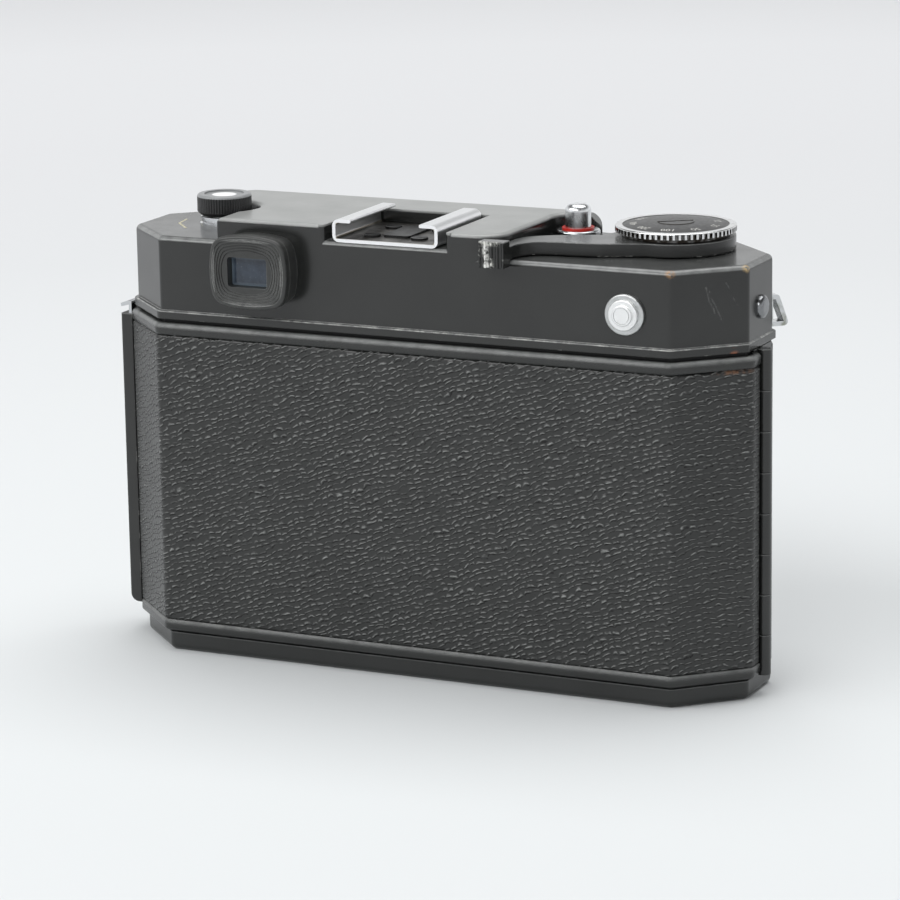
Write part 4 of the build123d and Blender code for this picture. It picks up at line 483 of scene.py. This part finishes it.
def plain(name, colour, rough, metallic=0.0, grain_mm=0.6, depth=0.004, rubbed=None):
    """Cast, turned or moulded surface: one colour with slight mottling and a fine texture.
    rubbed is the colour that its sharp edges have worn to."""
    made, tree, shader, xyz = new_material(name, Metallic=metallic)
    base = linear(colour)
    darker = tuple(v * (1.0 - MOTTLED_DARKER) for v in base[:3]) + (1.0,)
    laid = [(patches(tree, xyz, 5.0, 0.3, 0.7), base)]
    if rubbed is not None:
        thin = overlap(tree, edges(tree, 0.16), patches(tree, xyz, 1.0, 0.35, 0.5, 0.0, 0.8))
        laid.append((thin, rubbed))
    tree.links.new(coats(tree, darker, *laid), shader.inputs["Base Color"])
    mottled = patches(tree, xyz, grain_mm, 0.3, 0.7, rough, rough + 0.1)
    tree.links.new(mottled, shader.inputs["Roughness"])
    tree.links.new(rough_skin(tree, xyz, grain_mm, depth), shader.inputs["Normal"])
    return made


# the depth of the turned dish in the knob's top, the radius of the painted highlight in it with
# the width of its soft edge, and how far down the lighter grey rim round it reaches
DISH_DEPTH = 0.25
DISH_HIGHLIGHT_RADIUS, DISH_HIGHLIGHT_EDGE = 2.3, 0.3
KNOB_RIM = 0.4


def ribbed_knob(name):
    """Black anodised aluminium, ribbed: satin black, lighter grey on its top rim, with a painted
    highlight in the middle of the turned dish in its top."""
    made, tree, shader, xyz = new_material(name)
    top = box_mm("rewind_knob")[1].z
    x, y, _ = middle_of("rewind_knob")
    rim = between(tree, xyz, "Z", top - KNOB_RIM, top + 0.1, 0.1)
    # a painted highlight in the middle of the dish
    dish_highlight = near(tree, xyz, (x, y, top - DISH_DEPTH), DISH_HIGHLIGHT_RADIUS, DISH_HIGHLIGHT_RADIUS - DISH_HIGHLIGHT_EDGE)
    colour = coats(
        tree, "#161617", (edges(tree, 0.12), "#454646"), (rim, "#8B8D8E"), (dish_highlight, "#F1F2F2"),
    )
    tree.links.new(colour, shader.inputs["Base Color"])
    tree.links.new(patches(tree, xyz, 0.8, 0.3, 0.7, 0.3, 0.4), shader.inputs["Roughness"])
    return made


# the flat rim of the eyepiece outside its rings, the corner that a cloth keeps clean as its
# offset from the middle, and the radii at which that corner ends and is fully clean
EYEPIECE_RIM = 1.3
CLEAN_CORNER = (3.0, 3.5)
CLEAN_RADII = (9.0, 5.0)


def eyepiece_rubber(name):
    """Hard rubber, turned and greyed with dust: neutral dark grey, its outline worn light and
    the turned rings inside it only just lighter than the face."""
    made, tree, shader, xyz = new_material(name, IOR=1.5)
    low, high = box_mm("eyepiece_ring")
    x, _, z = middle_of("eyepiece_ring")
    inner = overlap(
        tree, between(tree, xyz, "X", low.x + EYEPIECE_RIM, high.x - EYEPIECE_RIM, 0.3),
        between(tree, xyz, "Z", low.z + EYEPIECE_RIM, high.z - EYEPIECE_RIM, 0.3),
    )
    corner = (x + CLEAN_CORNER[0], high.y, z + CLEAN_CORNER[1])
    clean = near(tree, xyz, corner, *CLEAN_RADII)
    rings = coats(tree, "#6A6B69", (clean, "#303130"))
    light = coats(tree, "#A2A3A1", (inner, rings))
    worn = overlap(tree, edges(tree, 0.2), patches(tree, xyz, 1.0, 0.3, 0.5, 0.3, 1.0))
    colour = coats(
        tree, "#2A2B2A", (patches(tree, xyz, 4.0, 0.3, 0.7), "#343534"), (worn, light),
    )
    tree.links.new(colour, shader.inputs["Base Color"])
    tree.links.new(patches(tree, xyz, 0.6, 0.3, 0.7, 0.34, 0.44), shader.inputs["Roughness"])
    tree.links.new(rough_skin(tree, xyz, 0.5, 0.003), shader.inputs["Normal"])
    return made


# the dusty edge of the finder glass: its width across and up, and the width over which it ends
DUSTY_X, DUSTY_Z, DUSTY_FADE = 0.7, 0.6, 0.5


def dusty_glass(name, colour, window):
    """Finder glass: a blue-grey mirror whose dark colour is painted shade of the finder tube behind
    it, dusty along its edges, which the cloth never reaches."""
    made, tree, shader, xyz = new_material(name, IOR=1.52)
    low, high = box_mm(window)
    clean = overlap(
        tree, between(tree, xyz, "X", low.x + DUSTY_X, high.x - DUSTY_X, DUSTY_FADE),
        between(tree, xyz, "Z", low.z + DUSTY_Z, high.z - DUSTY_Z, DUSTY_FADE),
    )
    specks = patches(tree, xyz, 0.35, 0.62, 0.7, 0.0, 0.3)
    # the dark colour of the glass is painted shade of the finder behind it
    body = coats(
        tree, colour, (patches(tree, xyz, 1.2, 0.35, 0.65, 0.0, 0.5), "#3B4653"),
        (specks, "#8A9093"),
    )
    tree.links.new(coats(tree, "#56616B", (clean, body)), shader.inputs["Base Color"])
    tree.links.new(patches(tree, xyz, 0.8, 0.3, 0.7, 0.06, 0.2), shader.inputs["Roughness"])
    return made


def glass(name, colour):
    """Coated optical glass: clear, with the faint tint of its coating and a breath of dust."""
    made, tree, shader, xyz = new_material(
        name, Base_Color=linear(colour), Transmission_Weight=1.0, IOR=1.52
    )
    dust = patches(tree, xyz, 0.8, 0.6, 0.85, 0.0, 0.03, detail=6.0)
    tree.links.new(dust, shader.inputs["Roughness"])
    return made


# the radii at which the painted lighter middle of the lens ends and is full
LENS_PAINTED_MIDDLE_RADII = (9.0, 2.5)


def coated_glass(name, lens):
    """Lens glass with a violet coating: a deep mirror whose dark colour is painted shade of the
    barrel behind it, with a painted lighter middle where the barrel is seen to its end, and a
    breath of dust."""
    made, tree, shader, xyz = new_material(name, IOR=1.6, Specular_Tint=linear("#B9A8FF"))
    # painted shade of the barrel behind the glass, lighter in the middle
    deep = near(tree, xyz, middle_of(lens), *LENS_PAINTED_MIDDLE_RADII)
    dust = patches(tree, xyz, 0.4, 0.66, 0.74, 0.0, 0.12)
    body = coats(tree, "#08080D", (deep, "#262036"), (dust, "#A9ACB0"))
    tree.links.new(body, shader.inputs["Base Color"])
    tree.links.new(patches(tree, xyz, 2.0, 0.4, 0.8, 0.03, 0.1), shader.inputs["Roughness"])
    return made


body_enamel = enamel("stove enamel, black", wear=0.68)
# the door's rounded top rim carries a broad band of the painted edge highlight
door_enamel = enamel("stove enamel, black, thick on the rim", wear=0.68, rim=0.5, soft=1.4)
cover_enamel = enamel(
    "stove enamel, black, brassed corners", wear=0.62, dulled_and_sheen=79.35,
    spots=(
        ((-48.3, 15.6, 75.5), 1.3, "#A87B45"), ((-58.3, 6.0, 75.3), 1.1, "#CDB07C"),
        ((-56.6, 8.0, 61.2), 1.1, "#A5603C"),
    ),
    scratches=[(start, end, 0.2, 0.24, "#9A9C9A") for start, end in (
        ((-52.4, 11.7, 73.0), (-53.7, 10.4, 68.3)), ((-55.1, 9.0, 73.5), (-56.7, 7.5, 69.3)),
        ((-52.9, 11.2, 72.2), (-54.6, 9.5, 67.0)),
    )],
    chips=((62.27, 62.5),),
)
# paint gone from two ribs of the grip and from its top edge
lever_enamel = enamel(
    "stove enamel, black, worn to the metal", worn="#B9B9B4", wear=0.6,
    scratches=(
        ((-15.7, 19.3, 74.8), (-15.7, 19.3, 79.6), 0.75, 2.0, "#E6E6E2"),
        ((-16.8, 19.3, 75.0), (-16.8, 19.3, 76.9), 0.55, 1.5, "#D8D8D2"),
        ((-14.5, 19.3, 79.3), (-18.4, 19.3, 79.3), 0.7, 1.5, "#D8D8D2"),
    ),
)
latch_enamel = enamel("stove enamel, black, rubbed edges", worn="#7E7F7C", wear=0.55, rough=0.5)
hinge_enamel = enamel("baked black on rolled steel", worn="#6E6F6C", wear=0.6)
grain_leather = leather("embossed black leather")
bright_plate = plated("chromium plate, polished")
button_plate = plated("chromium plate, softly polished", "#E4E6E8", 0.2)
dial_plate = milled_chrome("chromium plate, milled")
shoe_plate = shoe_chrome("chromium plate, handled")
satin_plate = plated("chromium plate, satin", "#C4C6C6", 0.3, "#77756F", 0.25)
cap_plate = plated("satin nickel silver", "#EDEEEE", 0.36, "#C9C9C6", 0.25)
lug_plate = plated("chromium plate with verdigris", "#CFD1D2", 0.14, "#6F7358", 0.7)
red_paint = plain("red enamel", "#C8281E", 0.3)
spring_steel = plain("blued spring steel", "#2A2A2A", 0.32, 0.6)
ground_steel = plain("ground steel", "#8E9092", 0.3, 1.0)
dulled_steel = plain("blued steel, rubbed", "#8A8C8E", 0.18, 1.0)
gear_brass = plain("machined brass", "#B08D4F", 0.28, 1.0)
casting_paint = plain("matt black on die-cast alloy", "#1C1C1D", 0.62, 0.0, 0.5, 0.01)
knob_black = ribbed_knob("black anodised aluminium, ribbed")
dial_black = plain("black anodised aluminium, turned", "#2A2A2A", 0.3, rubbed="#77746C")
eyepiece_black = eyepiece_rubber("hard rubber, greyed with dust")
spool_black = plain("moulded black phenolic", "#151515", 0.3)
lens_satin = plated("satin anodised aluminium", "#B9BBBD", 0.34, "#8D8C88", 0.2)
bezel_black = plain("black anodised aluminium", "#151516", 0.34)
eye_glass = dusty_glass("coated glass over a dark finder", "#262F3B", "eyepiece_glass")
window_glass = glass("window glass", "#DCE6EE")
lens_glass = coated_glass("coated lens glass", "front_glass")
frosted = plain("frosted glass", "#C9CCC6", 0.5)
black_fill = plain("black engraving paint", "#161616", 0.45)
white_fill = plain("white engraving paint", "#D9D8D0", 0.5)
cream_fill = plain("cream engraving paint, yellowed", "#C2BDA4", 0.5)
silver_fill = plain("bare metal of an engraving", "#DAD9D4", 0.4)

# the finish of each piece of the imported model
node_materials = {
    body_enamel: ["bottom_plate", "latch_guide"],
    door_enamel: ["door_shell"],
    cover_enamel: ["top_cover"],
    lever_enamel: ["wind_lever"],
    latch_enamel: ["latch_bar"],
    hinge_enamel: ["body_hinge_leaf", "door_hinge_leaf"],
    dulled_steel: ["side_screws"],
    grain_leather: ["front_covering", "door_leather"],
    bright_plate: ["release_collar", "rewind_collar", "latch_catch"],
    button_plate: ["release_button"],
    dial_plate: ["dial_ring"],
    shoe_plate: ["accessory_shoe"],
    satin_plate: ["film_sprocket", "rewind_sleeve", "flash_terminal"],
    cap_plate: ["flash_cap"],
    lug_plate: ["right_strap_lug", "left_strap_lug"],
    red_paint: ["release_red_ring"],
    spring_steel: ["shoe_spring", "shoe_screws", "pressure_springs", "rewind_fork"],
    ground_steel: [
        "tripod_bush", "base_screws", "hinge_pin", "door_catches", "latch_hooks", "wind_shaft",
        "film_gate", "release_rod",
    ],
    gear_brass: ["lever_gears", "idler_gear", "spool_gear", "sprocket_gear"],
    casting_paint: ["body_casting", "finder_block", "pressure_plate"],
    knob_black: ["rewind_knob"],
    dial_black: ["dial_disc", "dial_screw"],
    eyepiece_black: ["eyepiece_ring"],
    eye_glass: ["eyepiece_glass"],
    spool_black: ["take_up_spool"],
    lens_satin: ["lens_flange", "focus_ring", "speed_ring", "aperture_ring"],
    bezel_black: ["lens_bezel", "shutter_housing"],
    window_glass: ["finder_window", "rangefinder_window"],
    lens_glass: ["front_glass", "rear_glass"],
    frosted: ["frame_window"],
}
for made, names in node_materials.items():
    for name in names:
        mesh = nodes[name].data
        mesh.materials.clear()
        mesh.materials.append(made)


# ---------------------------------------------------------------- surfaces
def mesh_piece(name, points, faces, made, body, smooth=True, closed=True):
    """Object of a mesh with its material, riding on a body. Points are in millimetres. A closed
    mesh has its faces turned outward."""
    data = bpy.data.meshes.new(name)
    data.from_pydata((np.asarray(points) * MM).tolist(), [], faces)
    data.update()
    if closed:
        shell = bmesh.new()
        shell.from_mesh(data)
        bmesh.ops.recalc_face_normals(shell, faces=shell.faces)
        shell.to_mesh(data)
        shell.free()
    if smooth:
        data.polygons.foreach_set("use_smooth", np.ones(len(data.polygons), bool))
    data.materials.append(made)
    piece = bpy.data.objects.new(name, data)
    bpy.context.scene.collection.objects.link(piece)
    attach(piece, body)
    return piece


def grid_faces(rows, columns, wrap=False):
    """Quads of a grid of rows by columns, joined round in the second way if wrap."""
    last = columns if wrap else columns - 1
    i, j = np.meshgrid(np.arange(rows - 1), np.arange(last), indexing="ij")
    k = (j + 1) % columns
    quads = [i * columns + j, (i + 1) * columns + j, (i + 1) * columns + k, i * columns + k]
    return np.stack(quads, -1).reshape(-1, 4)


# points in each arc of a path
ARC_POINTS = 13


def rounded_path(corners, radius, step):
    """Path through corners, each inner one an arc of the radius, as points at equal steps and
    their outward normals. An arc starts radius / tan(half angle) before its corner."""
    corners = np.asarray(corners, float)
    points = [corners[0]]
    for before, corner, after in zip(corners, corners[1:], corners[2:]):
        a = (before - corner) / np.linalg.norm(before - corner)
        b = (after - corner) / np.linalg.norm(after - corner)
        half = np.arccos(np.clip(a @ b, -1, 1)) / 2
        middle = corner + (a + b) / np.linalg.norm(a + b) * radius / np.sin(half)
        start = corner + a * radius / np.tan(half) - middle
        end = corner + b * radius / np.tan(half) - middle
        rays = start + np.linspace(0, 1, ARC_POINTS)[:, None] * (end - start)
        points.extend(middle + rays / np.linalg.norm(rays, axis=1)[:, None] * radius)
    points = np.array([*points, corners[-1]])
    run = np.concatenate([[0], np.cumsum(np.linalg.norm(np.diff(points, axis=0), axis=1))])
    s = np.linspace(0, run[-1], int(run[-1] / step) + 1)
    path = np.column_stack([np.interp(s, run, points[:, 0]), np.interp(s, run, points[:, 1])])
    tangent = np.gradient(path, axis=0)
    tangent /= np.linalg.norm(tangent, axis=1)[:, None]
    normal = np.column_stack([tangent[:, 1], -tangent[:, 0]])
    return s, path, normal * np.sign((normal * path).sum(1).mean())


# how far along the sheet the grain moves for each millimetre up it
GRAIN_LEAN = 0.3


def set_grain(piece, s, z, climb):
    """Stores where each point lies in the rows of pebbles, in pebbles along and rows across. A
    row is a line that climbs the sheet, and climb is its height above where it starts."""
    place = [(s + GRAIN_LEAN * z) / PEBBLE_WIDTH, (z - climb) / PEBBLE_HEIGHT, np.zeros_like(s)]
    layer = piece.data.attributes.new("grain_place", "FLOAT_VECTOR", "POINT")
    layer.data.foreach_set("vector", np.stack(place, -1).astype(np.float32).ravel())


def roll_off(distance, reach):
    """Quarter round: 0 at an edge, rising to 1 at a distance from it."""
    t = np.clip(distance / reach, 0, 1)
    return np.sqrt(1 - (1 - t) ** 2)


def distance_to_edge(s, z):
    """Distance of each point of a sheet to the nearest of its four edges."""
    return np.minimum(np.minimum(z - z.min(), z.max() - z), np.minimum(s, s.max() - s))


# the eight-sided plan of the body: where its sides and flats lie, and where their corners are
SIDE_X, SIDE_END_Y = 58.5, 5.8
FLAT_Y, FLAT_END_X = 15.6, 48.3
CORNER_SLOPE = np.tan(np.radians(22.0))


def plan(grow):
    """Corner points of the eight-sided plan, grown outward, for the back half."""
    moved = grow * CORNER_SLOPE
    return (SIDE_X + grow, SIDE_END_Y + moved), (FLAT_END_X + moved, FLAT_Y + grow)


# leather of the back door, glued between its two rims and round both chamfers: its mesh step,
# how far out of the plan its back and its face lie, and where its ends lie along Y
DOOR_STEP = 0.4
DOOR_SEAT, DOOR_FACE = 0.55, 1.13
DOOR_LATCH_END, DOOR_HINGE_END = 5.05, 2.95
DOOR_BEND = 1.6
# how far from its cut edges it turns down and how far down, and its swell between them with the
# distance from an edge at which the swell is full
DOOR_TURN_REACH, DOOR_TURN_DROP = 0.4, 0.25
SWELL, SWELL_FULL = 0.03, 3
# slope of the rows on the back in degrees, how much flatter they are on the chamfer by the hinge,
# and how far from the hinge end the change starts and how long it is
ROW_SLOPE, ROW_FLATTER = 20.0, 16.0
FLATTER_START, FLATTER_RUN = 22.0, 12.0


def door_covering():
    """Sheet of leather: grid along the rounded plan by height, out by the seat plus the sheet's
    thickness, turned down a little at its cut edges and swelling by a few hundredths between
    them; a flat back closes it. The rows of pebbles climb along the back, and lie almost level on
    the chamfer by the hinge: their height is the running sum of their slope."""
    low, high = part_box("door_leather")
    side, flat = plan(DOOR_FACE)
    corners = [(side[0], DOOR_LATCH_END), side, flat]
    corners += [(-flat[0], flat[1]), (-side[0], side[1]), (-side[0], DOOR_HINGE_END)]
    s, path, normal = rounded_path(corners, DOOR_BEND, DOOR_STEP)
    z = np.linspace(low.z / MM, high.z / MM, int((high.z - low.z) / MM / DOOR_STEP))
    grid_s, grid_z = np.meshgrid(s, z, indexing="ij")
    change = np.clip((grid_s - s[-1] + FLATTER_START) / FLATTER_RUN, 0, 1)
    slope_of_rows = np.radians(ROW_SLOPE - ROW_FLATTER * change)
    climb = np.cumsum(np.tan(slope_of_rows), axis=0) * (s[1] - s[0])
    edge = distance_to_edge(grid_s, grid_z)
    swell = SWELL * np.sin(0.5 * grid_s + 0.3 * grid_z) * np.sin(0.37 * grid_z)
    out = (roll_off(edge, DOOR_TURN_REACH) - 1) * DOOR_TURN_DROP
    # the crests of the swell are level with the face
    out = out + swell * np.clip(edge / SWELL_FULL, 0, 1) - SWELL
    outer = path[:, None, :] + normal[:, None, :] * out[..., None]
    outer = np.concatenate([outer, grid_z[..., None]], -1)
    back = path + normal * (DOOR_SEAT - DOOR_FACE)
    back = np.stack([np.column_stack([back, np.full(len(s), h)]) for h in (z[-1], z[0])], 1)
    loops = np.concatenate([outer, back], 1)
    rows, columns = loops.shape[:2]
    faces = grid_faces(rows, columns, wrap=True).tolist()
    faces += [list(range(columns)), list(range((rows - 1) * columns, rows * columns))[::-1]]
    piece = mesh_piece("door_covering", loops.reshape(-1, 3), faces, grain_leather, "back_door")
    # the flat back is given the grain of the last two points of the face
    grown = [np.concatenate([g, g[:, -2:]], 1) for g in (grid_s, grid_z, climb)]
    set_grain(piece, *grown)
    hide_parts("door_leather")


# leather of the front: its mesh step, how far out of the plan its face lies, its bend, where its
# ends lie along Y, how it turns down at its cut edges, how far a row climbs in a millimetre, its
# thickness, and the hole for the mount
FRONT_STEP = 0.6
FRONT_FACE = 0.1
FRONT_BEND = 1.0
FRONT_END = -5.2
FRONT_TURN_REACH, FRONT_TURN_DROP = 0.5, 0.3
FRONT_CLIMB = -0.25
FRONT_THICKNESS = 0.45
MOUNT_RADIUS, MOUNT_LEVEL = 27.1, 32.0


def front_covering():
    """Sheet of leather round the front, as the door's, with a round hole for the lens mount: the
    points inside the hole are drawn out to its rim."""
    low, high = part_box("front_covering")
    side, flat = plan(FRONT_FACE)
    corners = [(side[0], FRONT_END), (side[0], -side[1]), (flat[0], -flat[1])]
    corners += [(-x, y) for x, y in corners[::-1]]
    s, path, normal = rounded_path(corners, FRONT_BEND, FRONT_STEP)
    z = np.linspace(low.z / MM, high.z / MM, int((high.z - low.z) / MM / FRONT_STEP))
    grid_s, grid_z = np.meshgrid(s, z, indexing="ij")
    edge = distance_to_edge(grid_s, grid_z)
    out = (roll_off(edge, FRONT_TURN_REACH) - 1) * FRONT_TURN_DROP
    points = path[:, None, :] + normal[:, None, :] * out[..., None]
    points = np.concatenate([points, grid_z[..., None]], -1)
    x, up = points[..., 0], points[..., 2] - MOUNT_LEVEL
    from_axis = np.hypot(x, up)
    inside = from_axis < MOUNT_RADIUS
    pull = np.where(inside, MOUNT_RADIUS / np.maximum(from_axis, 1e-6), 1.0)
    points[..., 0], points[..., 2] = x * pull, up * pull + MOUNT_LEVEL
    faces = grid_faces(*grid_s.shape)
    kept = faces[~inside.ravel()[faces].all(1)]
    used, index = np.unique(kept, return_inverse=True)
    piece = mesh_piece(
        "front_leather", points.reshape(-1, 3)[used], index.reshape(-1, 4).tolist(),
        grain_leather, "body",
    )
    data = piece.data
    if sum(p.normal.y for p in data.polygons) > 0:
        data.flip_normals()
    grid_s, grid_z = grid_s.ravel()[used], grid_z.ravel()[used]
    set_grain(piece, grid_s, grid_z, FRONT_CLIMB * grid_s)
    thick = piece.modifiers.new("thickness", "SOLIDIFY")
    thick.thickness = FRONT_THICKNESS * MM
    thick.offset = -1.0
    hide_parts("front_covering")


door_covering()
front_covering()


# ---------------------------------------------------------------- marks
def lettering(name, marks, size, made, body, place):
    """Engraved and painted marks: each word is set flat about the origin, its points (u, v) in
    millimetres, and place(u, v, turn) gives where they lie on the surface."""
    points, faces = [], []
    for word, turn in marks:
        curve = bpy.data.curves.new(name, "FONT")
        curve.body = word
        curve.size = size
        curve.align_x = "CENTER"
        curve.resolution_u = 3
        flat = bpy.data.meshes.new_from_object(bpy.data.objects.new(name, curve))
        uv = np.empty(3 * len(flat.vertices))
        flat.vertices.foreach_get("co", uv)
        first = sum(len(p) for p in points)
        faces += [[first + i for i in face.vertices] for face in flat.polygons]
        points.append(place(uv[0::3], uv[1::3], np.radians(turn)))
    return mesh_piece(name, np.concatenate(points), faces, made, body, smooth=False, closed=False)


# how far paint stands above the face that it lies on
PAINT = 0.02
# the disc of the film dial, how it rises from its rim to its hole, and the radius at which its
# numbers stand
DIAL_MIDDLE = middle_of("dial_disc")
DIAL_CROWN = 0.45
DIAL_RISE, DIAL_FALL = 0.83, 0.38
DIAL_RIM_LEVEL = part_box("dial_disc")[1].z / MM - DIAL_CROWN
DIAL_RADIUS = 9.1
DIAL_HOLE = 3.2
DIAL_MARK_RADIUS = 6.7


def on_dial(u, v, turn):
    """Round the dial with tops outward: its mark radius + v, turned back by u over the radius;
    the disc rises as t (rise - fall t), t being the share of the way from its rim to its hole."""
    radius = DIAL_MARK_RADIUS + v
    angle = turn - u / radius
    t = (DIAL_RADIUS - radius) / (DIAL_RADIUS - DIAL_HOLE)
    level = DIAL_RIM_LEVEL + t * (DIAL_RISE - DIAL_FALL * t) + PAINT
    x, y = DIAL_MIDDLE[0] + radius * np.cos(angle), DIAL_MIDDLE[1] + radius * np.sin(angle)
    return np.column_stack([x, y, level])


def on_front(radius, level):
    """Round the lens axis on a face that looks forward, tops outward: seen from the front,
    x runs to the right and turn 0 is the top."""
    def place(u, v, turn):
        """Points at the radius + v, turned on by u over it, at the level along Y."""
        r = radius + v
        angle = turn + u / r
        height = middle_of("lens_bezel")[2] + r * np.cos(angle)
        return np.column_stack([r * np.sin(angle), np.full_like(r, level), height])
    return place


# each scale: its numbers, the turn of the first, the step back or on to the next, and its height
FILM_SPEEDS = ("12", "25", "50", "100", "200", "400", "800")
SPEED_FIRST, SPEED_STEP, SPEED_HEIGHT = 215.0, -38.0, 1.75
STOPS = ("2", "2.8", "4", "5.6", "8", "11", "16")
STOP_FIRST, STOP_STEP, STOP_HEIGHT = -48.0, 16.0, 2.2
STOP_RADIUS = 22.55
BEZEL_MARKS = [("1:2", -24.0), ("f = 45 mm", 18.0)]
BEZEL_HEIGHT = 1.5
BEZEL_RADIUS = 20.55

dial_marks = [(word, SPEED_FIRST + SPEED_STEP * i) for i, word in enumerate(FILM_SPEEDS)]
lettering("dial_numbers", dial_marks, SPEED_HEIGHT, silver_fill, "film_dial", on_dial)

stop_marks = [(word, STOP_FIRST + STOP_STEP * i) for i, word in enumerate(STOPS)]
aperture_face = on_front(STOP_RADIUS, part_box("aperture_ring")[0].y / MM - PAINT)
lettering("aperture_numbers", stop_marks, STOP_HEIGHT, black_fill, "aperture_dial", aperture_face)

bezel_face = on_front(BEZEL_RADIUS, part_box("lens_bezel")[0].y / MM - PAINT)
lettering("bezel_numbers", BEZEL_MARKS, BEZEL_HEIGHT, white_fill, "shutter", bezel_face)

# the arrow on the deck: the points of its middle line, its width, and its level a little above
# the deck's
ARROW_LINE = [(52.0, -1.45), (51.3, 2.7), (47.7, 6.8)]
ARROW_WIDTH = 0.45
ARROW_LEVEL = 75.65 + 0.015


def chevron():
    """Cream arrow mark inlaid in the deck beside the rewind knob: two strips that meet at a tip,
    their sides half a width either side of the middle line and mitred at the tip."""
    line = np.array(ARROW_LINE)
    run = np.diff(line, axis=0)
    square = np.column_stack([-run[:, 1], run[:, 0]]) / np.linalg.norm(run, axis=1)[:, None]
    mitre = square.sum(0) / (1 + square[0] @ square[1])
    offset = np.array([square[0], mitre, square[1]]) * ARROW_WIDTH / 2
    sides = np.concatenate([line - offset, line + offset])
    points = np.column_stack([sides, np.full(len(sides), ARROW_LEVEL)])
    faces = [[0, 1, 4, 3], [1, 2, 5, 4]]
    mesh_piece("deck_mark", points, faces, cream_fill, "body", smooth=False, closed=False)


chevron()


# ---------------------------------------------------------------- light and floor
FLOOR_HALF = 6.0
# the paper under the object, behind it, and far off, with the distances where one turns into
# the next: they even out the light of the lamps
FLOOR_NEAR = "#DFE2E3"
FLOOR_FAR = "#D5D6D8"
FLOOR_BEYOND = "#E7E8EA"
NEAR_TO_FAR = (0.08, 0.6)
FAR_TO_BEYOND = (0.4, 0.85)
WORLD_COLOUR = "#F4F5F6"
HORIZON, ZENITH = 1.0, 0.16
# place in metres, size in metres, power in watts: a long soft strip and a broad one overhead
LAMPS = {
    "strip": ((0.6, 1.35, 1.25), (2.8, 0.6), 26.0),
    "overhead": ((0.0, -0.4, 1.6), (1.6, 1.4), 21.0),
}
LAMP_AIM = Vector((0.0, 0.0, 0.04))


def make_floor():
    """Pale paper sweep, a little darker behind the object and lighter again far off."""
    made, tree, shader, xyz = new_material("pale paper", Roughness=0.9)
    away = add(tree, "ShaderNodeVectorMath", {"Vector": xyz}, "Value", operation="LENGTH")
    shares = [
        add(tree, "ShaderNodeMapRange", {"Value": away, "From Min": start, "From Max": end})
        for start, end in (NEAR_TO_FAR, FAR_TO_BEYOND)
    ]
    paper = coats(tree, FLOOR_NEAR, (shares[0], FLOOR_FAR), (shares[1], FLOOR_BEYOND))
    tree.links.new(paper, shader.inputs["Base Color"])
    corners = [(x * FLOOR_HALF, y * FLOOR_HALF, 0) for x, y in ((-1, -1), (1, -1), (1, 1), (-1, 1))]
    data = bpy.data.meshes.new("floor")
    data.from_pydata(corners, [], [(0, 1, 2, 3)])
    data.materials.append(made)
    floor = bpy.data.objects.new("floor", data)
    bpy.context.scene.collection.objects.link(floor)


def make_light():
    """Even pale surround, brightest near the floor, and two broad soft lamps above."""
    world = bpy.data.worlds.new("studio")
    world.use_nodes = True
    bpy.context.scene.world = world
    tree = world.node_tree
    height = add(tree, "ShaderNodeSeparateXYZ", {
        "Vector": add(tree, "ShaderNodeTexCoord", out="Generated"),
    }, "Z")
    strength = add(tree, "ShaderNodeMapRange", {
        "Value": height, "From Min": 0.25, "From Max": 0.6, "To Min": HORIZON, "To Max": ZENITH,
    })
    background = tree.nodes["Background"]
    background.inputs["Color"].default_value = linear(WORLD_COLOUR)
    tree.links.new(strength, background.inputs["Strength"])
    for name, (place, size, power) in LAMPS.items():
        data = bpy.data.lights.new(name, "AREA")
        data.shape = "RECTANGLE"
        data.size, data.size_y = size
        data.energy = power
        lamp = bpy.data.objects.new(name, data)
        lamp.location = place
        aim = LAMP_AIM - Vector(place)
        lamp.rotation_euler = aim.to_track_quat("-Z", "Y").to_euler()
        bpy.context.scene.collection.objects.link(lamp)


make_floor()
make_light()
